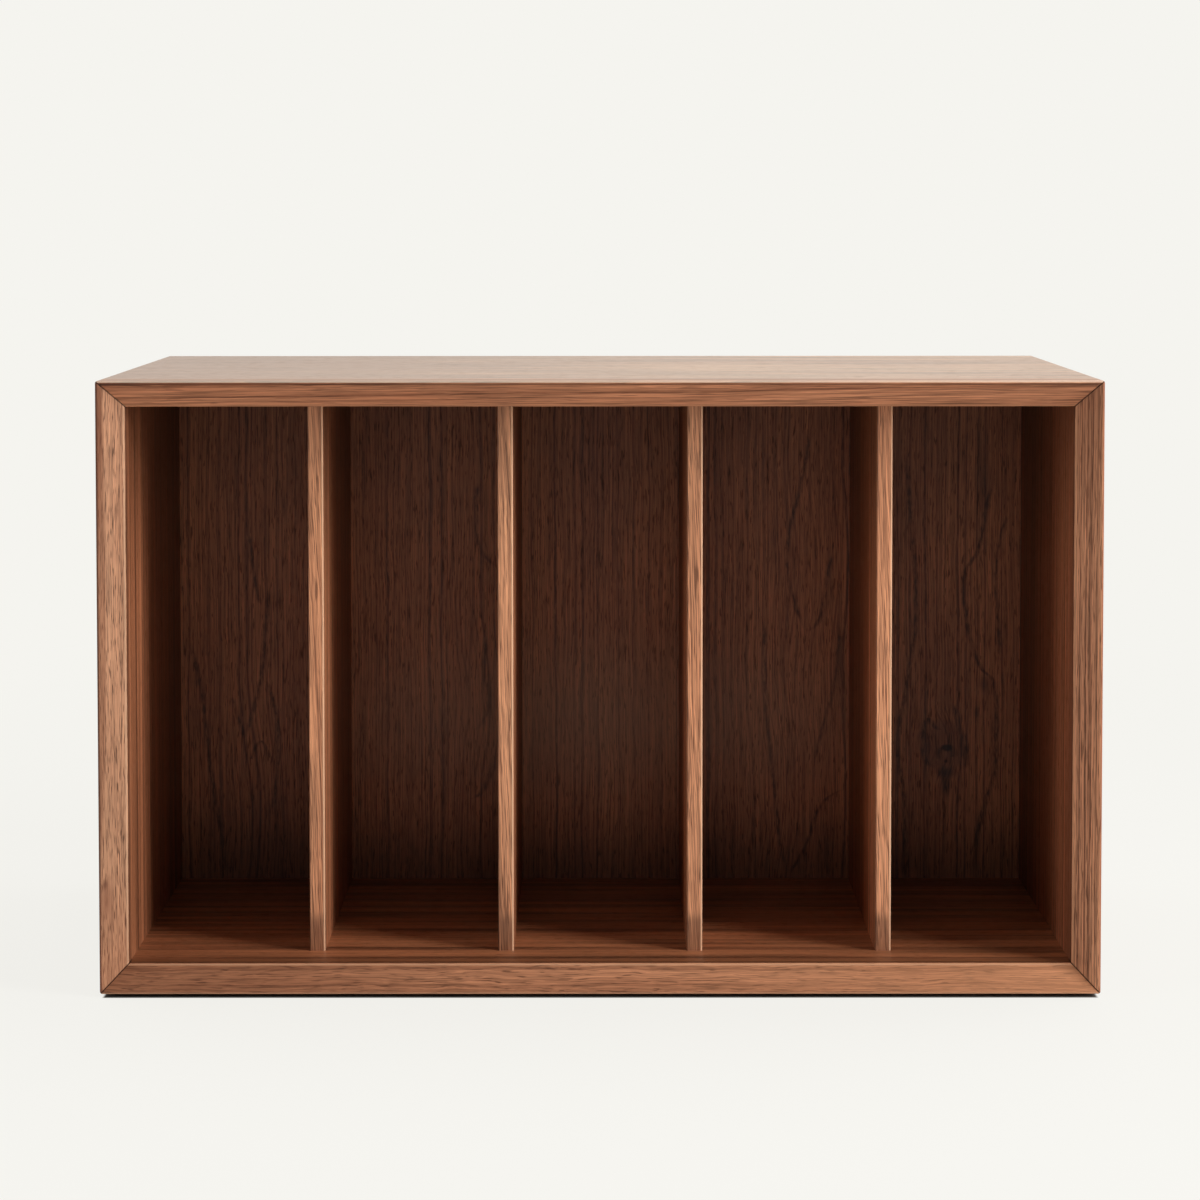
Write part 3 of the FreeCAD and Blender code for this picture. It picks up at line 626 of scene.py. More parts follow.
@dataclass
class Case:
    """The mitred case: four veneered boards and their solid front lippings. Sizes are in millimetres."""

    half_width: float = CAD_BOX[1].x * PER_METRE
    top: float = CAD_BOX[1].z * PER_METRE
    bottom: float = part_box("bottom_lipping")[0].z * PER_METRE
    front: float = CAD_BOX[0].y * PER_METRE
    board: float = 16.0
    bevel_depth: float = 15.0
    lipping_depth: float = 28.0
    hairline: float = 0.25          # half the dark line that shows along a mitre
    mark_depth: float = 4.0         # from the front to the middle of a mark on a bevel
    shade_height: float = 150.0     # reach of the painted shade inside, from the top
    shade_depth: float = 330.0      # and from the rear

    def dress(self) -> None:
        """Give each board and lipping its own cut of walnut."""
        self.dress_boards()
        self.dress_level_lippings()
        self.dress_upright_lippings()
        # Sawn birch plywood: pale and matt, with fine flecks.
        birch = PlainWood("birch_plywood_sawn", "#d9bf94", "#b8976a", Grain.UPRIGHT).material()
        for corner in ("top_left", "top_right", "bottom_left", "bottom_right"):
            dress(corner + "_spline", birch)

    def dress_boards(self) -> None:
        """Veneer the four boards."""
        # Lacquered veneer, sanded flat: long streaks, and a sheen that turns pale where the light skims it.
        dress("top_panel", Walnut(
            "walnut_veneer_satin_lacquer_top", Grain.ALONG_WIDTH, (0.0, 420.0, -300.0), SOLID,
            (0.8, 0.91, 0.87), Figure(ring_width=14.0, ring_contrast=0.55, pore_strength=0.35,
                                      fibre_length=150.0, fibre_width=9.0, fibre_contrast=0.42),
            roughness=0.3,
            # painted shade: the left end of the top is darker and yellower, where less light falls on it
            spots=(Spot((-self.half_width, 0.0, self.top), (460.0, ENDLESS, 60.0), "#85552c", 0.62, 0.0),
                   )).material())
        # Lacquered veneer: the same long streaks, with less sheen in the shade of the bays.
        dress("bottom_panel", Walnut(
            "walnut_veneer_satin_lacquer_bottom", Grain.ALONG_WIDTH, (310.0, 380.0, 35.0),
            stain=(0.96, 0.95, 0.86), specular=0.35,
            figure=Figure(ring_width=16.0, ring_contrast=0.6, pore_strength=0.3, fibre_length=260.0,
                          fibre_width=10.0, fibre_contrast=0.55, wave_height=3.0)).material())
        # Lacquered veneer: upright streaks that run from the floor to the top, with painted shade inside
        # towards the top and the back.
        dress("left_side_panel", Walnut(
            "walnut_veneer_satin_lacquer_left", Grain.UPRIGHT, (150.0, 430.0, -240.0),
            stain=(1.12, 1.12, 1.1), specular=0.35,
            figure=Figure(ring_width=12.0, ring_contrast=0.6, pore_strength=0.4, fibre_length=500.0,
                          fibre_width=10.0, fibre_contrast=0.5, wave_height=2.5),
            spots=(self.outer_wood(-self.half_width, self.board / 2, 0.5),
                   *self.painted_deep_shade(self.board - self.half_width))).material())
        # Lacquered veneer: upright streaks again, closer and crisper, with painted shade inside towards the
        # top and the back.
        dress("right_side_panel", Walnut(
            "walnut_veneer_satin_lacquer_right", Grain.UPRIGHT, (720.0, 510.0, 330.0),
            stain=(1.1, 1.06, 1.06), specular=0.35,
            figure=Figure(ring_width=7.0, ring_contrast=0.8, pore_strength=0.4, fibre_length=500.0,
                          fibre_width=5.0, fibre_contrast=0.65, wave_height=2.5),
            spots=(self.outer_wood(self.half_width, self.board / 2, 0.6),
                   *self.painted_deep_shade(self.half_width - self.board))).material())

    def outer_wood(self, outer_face: float, thickness: float, strength: float) -> Spot:
        """Browner wood on the outside of a side of the case.

        Args:
            outer_face: Place of the face along the width.
            thickness: How deep the tone goes.
            strength: Share of that tone.

        Returns:
            Spot that runs all over the outside.
        """
        return Spot((outer_face, 0.0, 0.0), (thickness, ENDLESS, ENDLESS), "#5a4433", strength, 0.6)

    def painted_deep_shade(self, inner_face: float) -> tuple[Spot, ...]:
        """Painted shade on a side's inner face, towards the top and towards the back panel.

        Args:
            inner_face: Place of the face along the width.

        Returns:
            Spots that reach no further than the inner half of the board.
        """
        half = self.board / 2
        return (
            Spot((inner_face, 0.0, self.top), (half, ENDLESS, self.shade_height), PAINTED_DEEP_SHADE, 0.35, 0.0),
            Spot((inner_face, -self.front, 0.0), (half, self.shade_depth, ENDLESS), PAINTED_DEEP_SHADE, 0.4, 0.2),
        )

    def mitre(self, left: bool, upper: bool) -> Band:
        """Dark hairline where the end grain meets along a mitre.

        Args:
            left: The corner is on the left.
            upper: The corner is at the top.

        Returns:
            Band on the mitre's plane.
        """
        slope = math.sqrt(0.5)
        normal = (slope if left else -slope, 0.0, slope if upper else -slope)
        height = self.top if upper else -self.bottom
        return Band(normal, slope * (height - self.half_width), self.hairline, "#2c160d", 0.7)

    def line(self, upright: bool, place: float, depth: float, half_size: tuple[float, float],
             colour: str, strength: float, edge: float = 0.4) -> Spot:
        """Line of other colour along the whole of a lipping.

        Args:
            upright: The lipping stands at a side.
            place: Place across the lipping, along the width or above the floor.
            depth: Place along the depth.
            half_size: Half sizes of the line across the lipping and along the depth.
            colour: Colour of the line.
            strength: Share of that colour in the line.
            edge: Share of the line at which it starts to fade.

        Returns:
            Spot that runs on past both ends of the lipping.
        """
        across, along = half_size
        if upright:
            return Spot((place, depth, 0.0), (across, along, ENDLESS), colour, strength, edge)
        return Spot((0.0, depth, place), (ENDLESS, along, across), colour, strength, edge)

    def inner_edge(self, upright: bool, place: float, outwards: float, board: str,
                   arris_highlight: str) -> tuple[Spot, ...]:
        """Marks where the bevel turns into the inner face of a lipping: its colour, painted shade behind
        the arris and a painted highlight on the arris.

        Args:
            upright: The lipping stands at a side.
            place: Place of its inner face, along the width or above the floor.
            outwards: 1 or -1, from that face into the lipping.
            board: Colour of the inner face, which follows the board behind it.
            arris_highlight: Colour of the arris, a painted highlight where the arris catches the light.

        Returns:
            Inner face, the painted shade behind the arris and the painted highlight on the arris.
        """
        turn = self.front + self.bevel_depth
        rear = self.front + self.lipping_depth
        return (
            self.line(upright, place, (turn + rear) / 2, (3.0, (rear - turn) / 2 + 0.3), board, 0.8, 0.85),
            # painted shade just behind the arris
            self.line(upright, place, turn + 3.0, (1.2, 3.0), "#2a130a", 0.55),
            # painted highlight on the arris
            self.line(upright, place + 0.8 * outwards, turn - 0.7, (0.9, 0.9), arris_highlight, 0.6),
        )

    def dress_level_lippings(self) -> None:
        """Give the top and bottom lippings their cuts, mitres, and painted highlights and shade along their
        arrises.
        """
        inner_floor = self.bottom + self.board
        inner_top = self.top - self.board
        bevel = self.front + self.mark_depth
        # Planed solid walnut: crisp brown lines that run out of the edge, under a low sheen.
        dress("top_lipping", Walnut(
            "walnut_solid_satin_lacquer_top_lipping", Grain.ALONG_WIDTH, (90.0, 300.0, -560.0),
            SOLID, (0.92, 0.79, 0.73),
            Figure(ring_width=5.0, ring_contrast=1.0, pore_length=18.0, pore_gap=0.8, pore_start=0.58,
                   pore_strength=0.4, fibre_length=90.0, fibre_width=1.6, fibre_contrast=0.5,
                   wave_length=110.0, wave_width=30.0, wave_height=2.5),
            lean=1.2, specular=0.3,
            spots=(self.line(False, self.top, self.front + self.lipping_depth / 2 + 1.0,
                             (0.8, self.lipping_depth / 2), "#a07758", 0.75, 0.85),
                   # painted highlight along the top front arris
                   self.line(False, self.top - 0.3, self.front, (1.0, 1.2), "#e4d3bf", 0.55, 0.6),
                   self.line(False, self.top - 2.3, self.front, (0.9, 2.0), "#33160b", 0.7),
                   *self.inner_edge(False, inner_top, 1.0, "#5a3020", "#b07a58")),
            bands=(self.mitre(True, True), self.mitre(False, True))).material())
        # Planed solid walnut: short wavy lines, with painted shade to the left and painted light to the
        # right.
        dress("bottom_lipping", Walnut(
            "walnut_solid_satin_lacquer_bottom_lipping", Grain.ALONG_WIDTH, (430.0, 260.0, 90.0),
            SOLID, (0.73, 0.62, 0.56),
            Figure(ring_width=3.0, ring_contrast=0.6, pore_length=14.0, pore_gap=0.7, pore_start=0.57,
                   pore_strength=0.62, fibre_length=40.0, fibre_width=1.1, fibre_contrast=0.35,
                   wave_length=45.0, wave_width=16.0, wave_height=3.0),
            specular=0.3,
            # painted shade over the left half and painted light over the right half, where the light falls
            # from the right
            spots=(Spot((-330.0, bevel, 8.0), (330.0, 60.0, 60.0), "#54301f", 0.35, 0.0),
                   Spot((300.0, bevel, 8.0), (330.0, 60.0, 60.0), "#e1a173", 0.28, 0.0),
                   *self.inner_edge(False, inner_floor, -1.0, "#7e4b2d", "#cf9f7c"),
                   # painted highlight along the bottom front arris
                   self.line(False, self.bottom + 0.4, self.front, (0.7, 1.0), "#cf9d7b", 0.5)),
            bands=(self.mitre(True, False), self.mitre(False, False))).material())

    def dress_upright_lippings(self) -> None:
        """Give the side lippings their cuts, mitres, and painted highlights and shade along their arrises.
        """
        left, right = -self.half_width, self.half_width
        bevel = self.front + self.mark_depth
        # Planed solid walnut: pale wood with thin dark pores, and a small knot near its foot.
        dress("left_lipping", Walnut(
            "walnut_solid_satin_lacquer_left_lipping", Grain.UPRIGHT, (40.0, 330.0, -160.0),
            SOLID, (1.0, 1.04, 1.05),
            Figure(ring_width=4.0, ring_contrast=0.45, pore_length=10.0, pore_gap=0.6, pore_start=0.55,
                   pore_strength=0.8, fibre_length=60.0, fibre_width=0.9, fibre_contrast=0.45),
            specular=0.3,
            spots=(Spot((left, bevel, 250.0), (5.5, 40.0, 200.0), "#6e3a1e", 0.45, 0.75),
                   Spot((left, bevel, self.top), (5.0, 40.0, 120.0), "#6e3a1e", 0.55, 0.6),
                   self.line(True, left, self.front, (1.7, 3.5), "#4a2113", 0.8),
                   Spot((left + 3.5, bevel, 68.0), (2.0, 40.0, 5.0), "#3d2115", 0.7, 0.1),
                   Spot((left + 4.0, bevel, 60.0), (6.0, 40.0, 22.0), "#7a4a34", 0.6, 0.1),
                   Spot((left, bevel, self.bottom), (60.0, 60.0, 90.0), "#7e3306", 0.4, 0.0),
                   *self.inner_edge(True, left + self.board, -1.0, "#8a5337", "#e3b48f")),
            bands=(self.mitre(True, True), self.mitre(True, False))).material())
        # Planed solid walnut: close straight lines, darker towards the top.
        dress("right_lipping", Walnut(
            "walnut_solid_satin_lacquer_right_lipping", Grain.UPRIGHT, (560.0, 520.0, 480.0),
            SOLID, (1.15, 1.1, 1.06),
            Figure(ring_width=2.6, ring_contrast=1.0, pore_length=14.0, pore_gap=0.6, pore_start=0.55,
                   pore_strength=0.7, fibre_length=90.0, fibre_width=0.9, fibre_contrast=0.55,
                   wave_height=1.5),
            specular=0.3,
            spots=(Spot((right, bevel, self.top), (60.0, 60.0, 110.0), "#6b3a20", 0.5, 0.0),
                   *self.inner_edge(True, right - self.board, 1.0, "#855039", "#c9946f"),
                   self.outer_wood(right, 0.6, 0.5),
                   self.line(True, right - 0.3, self.front, (0.9, 2.5), "#a85f41", 0.6)),
            bands=(self.mitre(False, True), self.mitre(False, False))).material())


@dataclass
class BackPanel:
    """The back panel in its grooves, and its screws. Sizes are in millimetres."""

    face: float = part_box("back_panel")[0].y * PER_METRE
    rear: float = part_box("back_panel")[1].y * PER_METRE
    zinc_grit: float = 1.2              # size of the clouds in the plating of the screws

    def swirl(self, across: float, up: float, half_width: float, half_height: float, lift: float) -> Swirl:
        """Bend the growth lines round a place on the sheet.

        Args:
            across: Place along the width.
            up: Place above the floor.
            half_width: Half width of the bend.
            half_height: Half height of the bend.
            lift: How far the lines are pushed.

        Returns:
            Swirl right through the sheet.
        """
        return Swirl((across, self.face, up), (half_width, ENDLESS, half_height), lift)

    def spot(self, across: float, up: float, half_width: float, half_height: float, strength: float,
             colour: str = "#260f06", edge: float = 0.1) -> Spot:
        """Tint an oval place on the sheet.

        Args:
            across: Place along the width.
            up: Place above the floor.
            half_width: Half width of the oval.
            half_height: Half height of the oval.
            strength: Share of the tint in its middle.
            colour: Colour of the tint.
            edge: Share of the oval at which it starts to fade.

        Returns:
            Spot right through the sheet.
        """
        return Spot((across, self.face, up), (half_width, ENDLESS, half_height), colour, strength, edge)

    def veins(self) -> tuple[Vein, ...]:
        """List the dark veins of the flat-cut sheet.

        Returns:
            The veins bay by bay from the left, and the outline of the knot.
        """
        return (
            Vein(((18.0, -254.0), (45.0, -257.0), (99.0, -265.0), (144.0, -270.0), (185.0, -280.0)), 0.9),
            Vein(((114.0, -241.2), (125.0, -244.5), (142.0, -249.5)), 0.9),
            Vein(((114.0, -241.2), (134.0, -235.0), (154.0, -230.1), (185.0, -227.0),
                  (216.0, -224.0)), 0.9),
            Vein(((60.0, -225.0), (90.0, -219.5), (117.0, -218.8), (139.0, -221.5), (154.0, -230.1)), 0.8),
            Vein(((99.0, -236.8), (107.0, -234.0), (112.5, -230.0)), 0.8),
            Vein(((100.0, -224.4), (108.0, -227.0), (112.5, -230.0)), 0.8),
            Vein(((205.0, -230.5), (225.0, -234.0), (252.0, -237.0)), 0.8),
            Vein(((230.3, -69.4), (238.4, -78.4), (251.8, -84.0), (287.5, -82.9)), 1.0),
            Vein(((119.0, -85.2), (126.0, -79.5), (143.8, -75.1), (155.0, -78.4), (182.0, -77.3)), 1.0),
            Vein(((71.9, -88.5), (76.6, -80.7), (85.4, -76.1), (103.6, -70.6)), 1.2),
            Vein(((186.5, 139.5), (206.7, 131.6), (233.6, 126.4), (247.1, 127.1), (283.0, 135.0),
                  (326.0, 142.9)), 0.8),
            Vein(((186.5, 139.5), (195.4, 148.5), (215.6, 151.8), (231.6, 155.2), (239.0, 158.0)), 0.9),
            Vein(((96.8, 145.1), (125.8, 151.8), (150.8, 158.6), (190.0, 161.9)), 0.8),
            Vein(((20.0, 127.6), (40.4, 139.5), (67.4, 149.6), (79.0, 165.0)), 0.8),
            Vein(((20.0, 127.6), (43.0, 122.0), (99.0, 116.0), (139.0, 111.4), (198.0, 111.4)), 0.8),
            Vein(((18.0, 252.9), (49.7, 256.3), (71.9, 261.9), (94.3, 267.5), (121.3, 268.6),
                  (146.0, 267.5), (161.7, 257.4), (179.7, 251.1), (200.0, 247.3), (220.2, 245.7),
                  (233.6, 251.1), (244.9, 256.3), (276.3, 261.9), (299.0, 269.7)), 0.9, 0.9),
            Vein(((18.0, 205.7), (60.7, 206.4), (81.3, 205.0), (94.1, 203.0), (106.3, 201.7),
                  (125.8, 203.0), (142.0, 206.4), (171.0, 210.2), (202.2, 213.6), (240.4, 212.0),
                  (274.1, 209.1), (312.5, 204.6)), 0.9),
            Vein(((171.0, 270.9), (197.9, 268.6), (224.9, 267.5), (251.8, 270.9), (265.3, 278.7)), 0.7),
            *self.knot_outline(),
        )

    def knot_outline(self) -> tuple[Vein, ...]:
        """Draw the two lobes of the knot in the right bay.

        Returns:
            Its outer left side, the notch at its top, its outer right side and the arch over its eye.
        """
        return (
            Vein(((93.1, 225.3), (98.0, 221.0), (104.9, 218.7), (114.4, 218.5), (127.8, 221.6)), 1.3),
            Vein(((119.0, 229.0), (123.0, 225.5), (127.8, 221.6)), 1.2),
            Vein(((92.1, 244.8), (98.9, 248.1), (110.3, 247.5), (121.1, 243.7), (137.3, 238.9)), 1.3),
            Vein(((99.0, 229.8), (103.0, 229.6), (107.5, 231.6), (109.4, 235.0)), 1.2, 0.7),
            Vein(((100.5, 239.4), (103.5, 239.6), (107.5, 238.0), (109.4, 235.0)), 1.2, 0.7),
        )

    def dress(self) -> None:
        """Give the panel its flat-cut figure and the screws their zinc."""
        # Flat-cut veneer: arches, torn veins and a knot, nearly matt, with painted light across the middle
        # and painted shade at the foot and the top.
        dress("back_panel", Walnut(
            "walnut_flat_cut_veneer_satin_lacquer", Grain.UPRIGHT, (40.0, 60.0, 900.0), FLAT_CUT,
            (1.36, 1.2, 1.02), specular=0.25,
            figure=Figure(ring_width=2.6, ring_contrast=0.9, pore_length=9.0, pore_gap=0.8,
                          pore_start=0.58, pore_strength=0.7, fibre_length=60.0, fibre_width=1.1,
                          fibre_contrast=0.42, wave_length=70.0, wave_width=22.0, wave_height=2.2,
                          tear_length=6.0, tear_width=1.6, tear_height=0.6),
            swirls=(
                self.swirl(-231.0, 60.0, 30.0, 110.0, 8.0),
                self.swirl(-81.0, 141.0, 26.0, 70.0, 7.0),
                self.swirl(145.0, 232.0, 40.0, 90.0, 8.0),
                self.swirl(130.0, 80.0, 60.0, 90.0, 8.0),
                self.swirl(234.0, 108.0, 20.0, 34.0, 8.0),
            ),
            veins=self.veins(),
            spots=(
                self.spot(233.5, 108.0, 16.0, 22.0, 0.4, "#4a2620", 0.7),
                self.spot(234.6, 90.0, 11.0, 5.5, 0.6),
                self.spot(234.6, 82.0, 5.0, 13.0, 0.7),
                self.spot(235.0, 107.0, 5.0, 3.2, 0.85, edge=0.4),
                self.spot(234.4, 102.0, 3.2, 2.6, 0.35, "#a06648"),
                self.spot(234.2, 97.9, 2.2, 1.8, 0.7),
                self.spot(255.0, 131.0, 2.5, 6.0, 0.6),
                self.spot(260.0, 151.0, 6.0, 9.0, 0.5),
                self.spot(258.0, 285.0, 8.0, 45.0, 0.4),
                # painted light across the middle height of the bays
                self.spot(0.0, 128.0, 250.0, 75.0, 0.35, "#c59a7c", 0.0),
                self.spot(-235.0, 40.0, 90.0, 80.0, 0.35, "#3a1a0c", 0.0),
                # painted shade towards the floor of the bays
                self.spot(0.0, 18.0, ENDLESS, 60.0, 0.6, "#140904", 0.0),
                # painted shade under the top of the bays
                self.spot(0.0, 354.0, ENDLESS, 150.0, 0.3, "#1c0a00", 0.0),
                Spot((0.0, self.rear, 0.0), (ENDLESS, self.rear - self.face, ENDLESS), "#3f281b", 0.4),
            )).material())
        # Zinc plate on steel: bright grey with faint clouds.
        dress("back_panel_screws", Speckled(
            "steel_zinc_plated", "#c3c4c2", "#a9aba9", self.zinc_grit, metallic=1.0,
            roughness=0.35).material())


@dataclass
class Dividers:
    """The four fixed dividers, each with its front lipping and its dowels. Sizes are in millimetres."""

    count: int = 4
    edge_tones: tuple[float, ...] = (1.0, 0.9, 1.0, 1.06)     # one cut of the edges is paler than another
    shade_height: float = 150.0         # reach of the painted shade, from the top
    shade_depth: float = 250.0          # and from the back panel

    def dress(self) -> None:
        """Give each divider its own cut of walnut."""
        # Turned beech: pink-tan and matt, with fine flecks.
        beech = PlainWood("beech_turned", "#d8b48a", "#b98d62", Grain.UPRIGHT).material()
        for number in range(1, self.count + 1):
            node = f"divider_{number}"
            # Lacquered veneer: upright streaks, duller than the outside of the case, with painted shade
            # towards the top and the back.
            dress(node, Walnut(
                "walnut_veneer_satin_lacquer_" + node, Grain.UPRIGHT,
                (190.0 * number, 300.0 + 40.0 * number, 70.0), stain=(1.28, 1.33, 1.32), specular=0.35,
                figure=Figure(ring_width=7.0, ring_contrast=0.7, pore_strength=0.4, fibre_length=500.0,
                              fibre_width=6.0, fibre_contrast=0.6, wave_height=2.5),
                spots=self.painted_deep_shade(node)).material())
            dress(node + "_dowels", beech)
            self.dress_lipping(number)

    def painted_deep_shade(self, node: str) -> tuple[Spot, ...]:
        """Painted shade on a divider, towards its top and towards the back panel.

        Args:
            node: Name of the divider.

        Returns:
            Spots right through the divider.
        """
        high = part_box(node)[1] * PER_METRE
        return (
            Spot((0.0, 0.0, high.z), (ENDLESS, ENDLESS, self.shade_height), PAINTED_DEEP_SHADE, 0.35, 0.0),
            Spot((0.0, high.y, 0.0), (ENDLESS, self.shade_depth, ENDLESS), PAINTED_DEEP_SHADE, 0.3, 0.2),
        )

    def dress_lipping(self, number: int) -> None:
        """Give the front edge of a divider its cut, a painted highlight and painted shade along its
        arrises, and painted shade at its foot and its top.

        Args:
            number: Place of the divider from the left.
        """
        node = f"divider_{number}_lipping"
        low, high = (corner * PER_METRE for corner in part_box(node))
        middle = (low.x + high.x) / 2
        tone = self.edge_tones[number - 1]
        # Planed solid walnut: thin dark lines, with a painted highlight on the right arris and painted
        # shade on the left one.
        dress(node, Walnut(
            "walnut_solid_satin_lacquer_" + node, Grain.UPRIGHT,
            (230.0 * number, 420.0, 150.0 + 120.0 * number), SOLID,
            (1.18 * tone, 1.07 * tone, 0.98 * tone),
            Figure(ring_width=2.2, ring_contrast=0.6, pore_length=20.0, pore_gap=0.5, pore_start=0.55,
                   pore_strength=0.7, fibre_length=90.0, fibre_width=0.6, fibre_contrast=0.5),
            lean=2.0, specular=0.3,
            # painted shadow over the foot of the edge
            spots=(Spot((middle, low.y, low.z), (40.0, 40.0, 26.0), "#3a1d10", 0.5, 0.65),
                   # painted shade under the top of the bay
                   Spot((middle, low.y, high.z), (140.0, 140.0, 130.0), "#2a180f", 0.21, 0.0),
                   # painted highlight on the right arris
                   Spot((high.x - 0.3, low.y, 0.0), (0.9, 0.9, ENDLESS), "#f0c09a", 0.8, 0.4),
                   # painted shade on the left arris
                   Spot((low.x + 0.1, low.y, 0.0), (0.9, 1.2, ENDLESS), "#3f2215", 0.6, 0.4))).material())


@dataclass
class Glides:
    """The low glides that the case stands on, and their nails. Sizes are in millimetres."""

    rows: tuple[str, ...] = ("front", "rear")
    columns: tuple[str, ...] = ("left", "middle", "right")
    nylon_grit: float = 2.0             # size of the clouds that the mould leaves
    steel_grit: float = 1.0

    def dress(self) -> None:
        """Give the glides their nylon and the nails their steel."""
        # Moulded nylon: dark, even and half matt.
        nylon = Speckled(
            "nylon_moulded", "#2b2623", "#3a3430", self.nylon_grit, metallic=0.0, roughness=0.5,
            ior=1.53).material()
        for row in self.rows:
            for column in self.columns:
                dress(f"glide_{row}_{column}", nylon)
        # Drawn steel: bright, with faint clouds.
        dress("glide_nails", Speckled(
            "steel_bright_drawn", "#b9b7b2", "#97958f", self.steel_grit, metallic=1.0,
            roughness=0.4).material())


@dataclass
class Studio:
    """The pale studio: floor, surroundings, lamps and the camera. Sizes are in metres."""

    backdrop: str = "#f5f4ef"
    paper: str = "#cfcdc9"
    paper_shown: str = "#e9e8e4"
    paper_painted_shade: str = "#6c6b68"        # painted shade: darker paper in the slit under the case, where hardly any light comes
    slit_inset: float = 3 * MM          # the slit's shade ends this far short of the rounded corners
    slit_fade: float = 2 * MM
    shadow_share: float = 0.1           # share of the floor's shown colour that keeps the shadow
    shadow_near: float = 0.5            # distances from the shelf over which the shadow fades out
    shadow_far: float = 1.8
    floor_radius: float = 14.0
    floor_sides: int = 96
    front_light: float = 0.19           # light from the side of the camera
    back_light: float = 1.172           # light from the side of the backdrop
    light_turn: float = 0.25            # share of the way from the sides in which they mix
    aim: Triple = (0.0, -0.1, 0.18)     # place that the strip lamps face
    lamp_distance: float = 2.4
    lamp_side: float = 57.0             # degrees from straight in front
    lamp_rise: float = 26.0             # degrees above the floor
    lamp_width: float = 0.9
    lamp_length: float = 1.75
    key_power: float = 50.0
    fill_power: float = 9.5
    front_place: Triple = (0.0, -2.66, 0.63)
    front_width: float = 1.2
    front_height: float = 1.0
    front_power: float = 1.9            # weak: it reaches only the back panel more than the rest
    top_place: Triple = (0.7, 0.3, 1.5)
    top_size: float = 0.8
    top_power: float = 5.5
    camera_place: Triple = (0.0016, -2.5640, 0.4721)
    camera_turn: Triple = (86.445, 0.027, 0.036)        # degrees
    lens: float = 119.52                # millimetres, on a sensor of the next width
    sensor: float = 36.0
    shift_up: float = -0.12

    def build(self) -> None:
        """Set up everything round the shelf."""
        self.surround()
        self.floor()
        for name, side, power in (
            ("key_lamp", self.lamp_side, self.key_power), ("fill_lamp", -self.lamp_side, self.fill_power),
        ):
            turn, rise = math.radians(side), math.radians(self.lamp_rise)
            away = Vector((
                math.sin(turn) * math.cos(rise), -math.cos(turn) * math.cos(rise), math.sin(rise)))
            self.lamp(name, Vector(self.aim) + away * self.lamp_distance, away, power,
                      (self.lamp_width, self.lamp_length))
        front = Vector(self.front_place)
        self.lamp("front_lamp", front, front - Vector(self.aim), self.front_power,
                  (self.front_width, self.front_height))
        self.lamp("top_lamp", Vector(self.top_place), Vector((0.0, 0.0, 1.0)), self.top_power,
                  (self.top_size, self.top_size))
        self.camera()
        bpy.context.scene.view_settings.view_transform = "Standard"

    def seen(self, tree: Tree) -> Socket:
        """Tell the rays that show the background from the rays that light the shelf.

        Args:
            tree: Tree of the world or of the floor's paper.

        Returns:
            1 for a ray from the camera, a gloss or a glass, and 0 for the others.
        """
        path = add_node(tree, "LightPath")
        shiny = add_node(tree, "Math", {
            0: path.outputs["Is Camera Ray"], 1: path.outputs["Is Glossy Ray"]}, operation="MAXIMUM")
        return add_node(tree, "Math", {
            0: shiny.outputs[0], 1: path.outputs["Is Transmission Ray"]}, operation="MAXIMUM").outputs[0]

    def surround(self) -> None:
        """Light the shelf softly, with a bright backdrop behind it and a dim room behind the camera."""
        world = bpy.data.worlds.new("studio_surround")
        world.use_nodes = True
        bpy.context.scene.world = world
        tree = world.node_tree
        tree.nodes.clear()
        way = add_node(tree, "SeparateXYZ", {0: add_node(tree, "TexCoord").outputs["Generated"]})
        level = add_node(tree, "MapRange", {
            "Value": way.outputs["Y"], "From Min": -self.light_turn, "From Max": self.light_turn,
            "To Min": self.front_light, "To Max": self.back_light}, interpolation_type="SMOOTHSTEP")
        path = add_node(tree, "LightPath")
        plain = add_node(tree, "Math", {
            0: level.outputs[0], 1: path.outputs["Is Camera Ray"]}, operation="MAXIMUM")
        shown_level = add_node(tree, "Math", {0: plain.outputs[0], 1: 1.0}, operation="MINIMUM")
        soft = add_node(tree, "Background", {"Color": linear("#ffffff"), "Strength": level.outputs[0]})
        shown = add_node(tree, "Background", {
            "Color": linear(self.backdrop), "Strength": shown_level.outputs[0]})
        both = add_node(tree, "MixShader", {0: self.seen(tree), 1: soft.outputs[0], 2: shown.outputs[0]})
        add_node(tree, "OutputWorld", {"Surface": both.outputs[0]})

    def floor(self) -> None:
        """Lay the floor, which keeps the shelf's shadow and fades into the backdrop."""
        shape = bmesh.new()
        bmesh.ops.create_circle(
            shape, cap_ends=True, segments=self.floor_sides, radius=self.floor_radius)
        mesh = bpy.data.meshes.new("studio_floor")
        shape.to_mesh(mesh)
        shape.free()
        mesh.materials.append(self.floor_paper())
        floor = bpy.data.objects.new("studio_floor", mesh)
        bpy.context.scene.collection.objects.link(floor)
        LOG.info("studio_floor laid")

    def floor_paper(self) -> bpy.types.Material:
        """Build the paper of the floor.

        Returns:
            Paper that looks like the backdrop, with the shelf's shadow and painted shade in the slit under
            the case.
        """
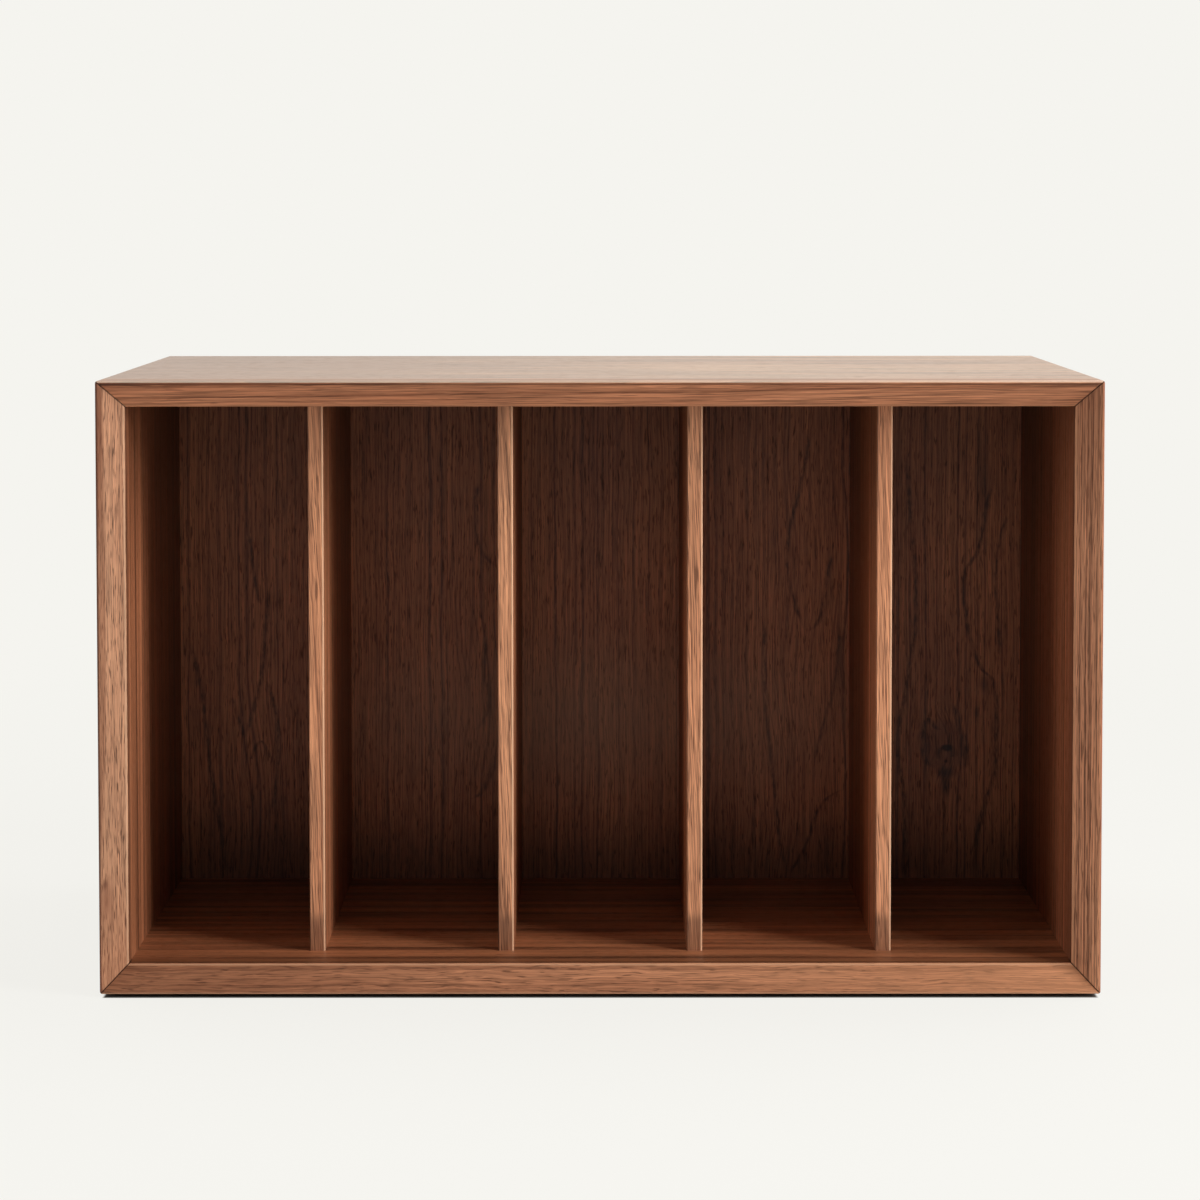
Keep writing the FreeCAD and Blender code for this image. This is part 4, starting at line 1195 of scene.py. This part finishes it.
        # Matt paper: no sheen, so only the shadow shows on it, with darker paper painted as shade in the
        # slit under the case.
        material, tree = new_material("paper_matt_pale")
        place = add_node(tree, "TexCoord").outputs["Object"]
        away = add_node(tree, "VectorMath", {0: place}, operation="LENGTH")
        soft = add_node(tree, "MapRange", {
            "Value": away.outputs["Value"], "From Min": self.shadow_near, "From Max": self.shadow_far,
            "To Min": self.shadow_share, "To Max": 0.0}, interpolation_type="SMOOTHSTEP")
        over = add_node(tree, "VectorMath", {0: place}, operation="ABSOLUTE")
        past = add_node(tree, "VectorMath", {
            0: over.outputs[0], 1: (CAD_BOX[1].x - self.slit_inset, CAD_BOX[1].y, 0.0)},
            operation="SUBTRACT")
        sides = add_node(tree, "SeparateXYZ", {0: past.outputs[0]})
        edge = add_node(tree, "Math", {
            0: sides.outputs["X"], 1: sides.outputs["Y"]}, operation="MAXIMUM")
        # darker paper is painted as shade in the slit under the case
        under = add_node(tree, "MapRange", {
            "Value": edge.outputs[0], "From Min": self.slit_fade, "From Max": 0.0},
            interpolation_type="SMOOTHSTEP")
        paper = add_node(tree, "BsdfDiffuse", {"Color": linear(self.paper)})
        paper_shown = add_node(tree, "BsdfDiffuse", {"Color": linear(self.paper_shown)})
        paper_painted_shade = add_node(tree, "BsdfDiffuse", {"Color": linear(self.paper_painted_shade)})
        glow = add_node(tree, "Emission", {"Color": linear(self.backdrop), "Strength": 1.0})
        open_floor = add_node(tree, "MixShader", {
            0: soft.outputs[0], 1: glow.outputs[0], 2: paper_shown.outputs[0]})
        shown = add_node(tree, "MixShader", {
            0: under.outputs[0], 1: open_floor.outputs[0], 2: paper_painted_shade.outputs[0]})
        both = add_node(tree, "MixShader", {0: self.seen(tree), 1: paper.outputs[0], 2: shown.outputs[0]})
        add_node(tree, "OutputMaterial", {"Surface": both.outputs[0]})
        return material

    def lamp(self, name: str, place: Vector, away: Vector, power: float,
             size: tuple[float, float]) -> None:
        """Stand a soft lamp.

        Args:
            name: Name of the lamp.
            place: Where it stands.
            away: Direction from what it lights to the lamp.
            power: Watts.
            size: Width and length of its face.
        """
        light = bpy.data.lights.new(name, "AREA")
        light.shape = "RECTANGLE"
        light.size, light.size_y = size
        light.energy = power
        lamp = bpy.data.objects.new(name, light)
        lamp.location = place
        lamp.rotation_euler = away.to_track_quat("Z", "Y").to_euler()
        lamp.visible_camera = False
        bpy.context.scene.collection.objects.link(lamp)
        LOG.info("%s set up", name)

    def camera(self) -> None:
        """Look at the shelf from in front, a little above its top."""
        lens = bpy.data.cameras.new("camera")
        lens.lens = self.lens
        lens.sensor_width = self.sensor
        lens.shift_y = self.shift_up
        camera = bpy.data.objects.new("camera", lens)
        camera.location = self.camera_place
        camera.rotation_euler = tuple(math.radians(turn) for turn in self.camera_turn)
        bpy.context.scene.collection.objects.link(camera)
        bpy.context.scene.camera = camera


def main() -> None:
    """Dress the shelf and build the studio."""
    logging.basicConfig(level=logging.INFO, format="%(message)s")
    for group in (Case(), BackPanel(), Dividers(), Glides()):
        group.dress()
    Studio().build()


if __name__ == "__main__":
    main()
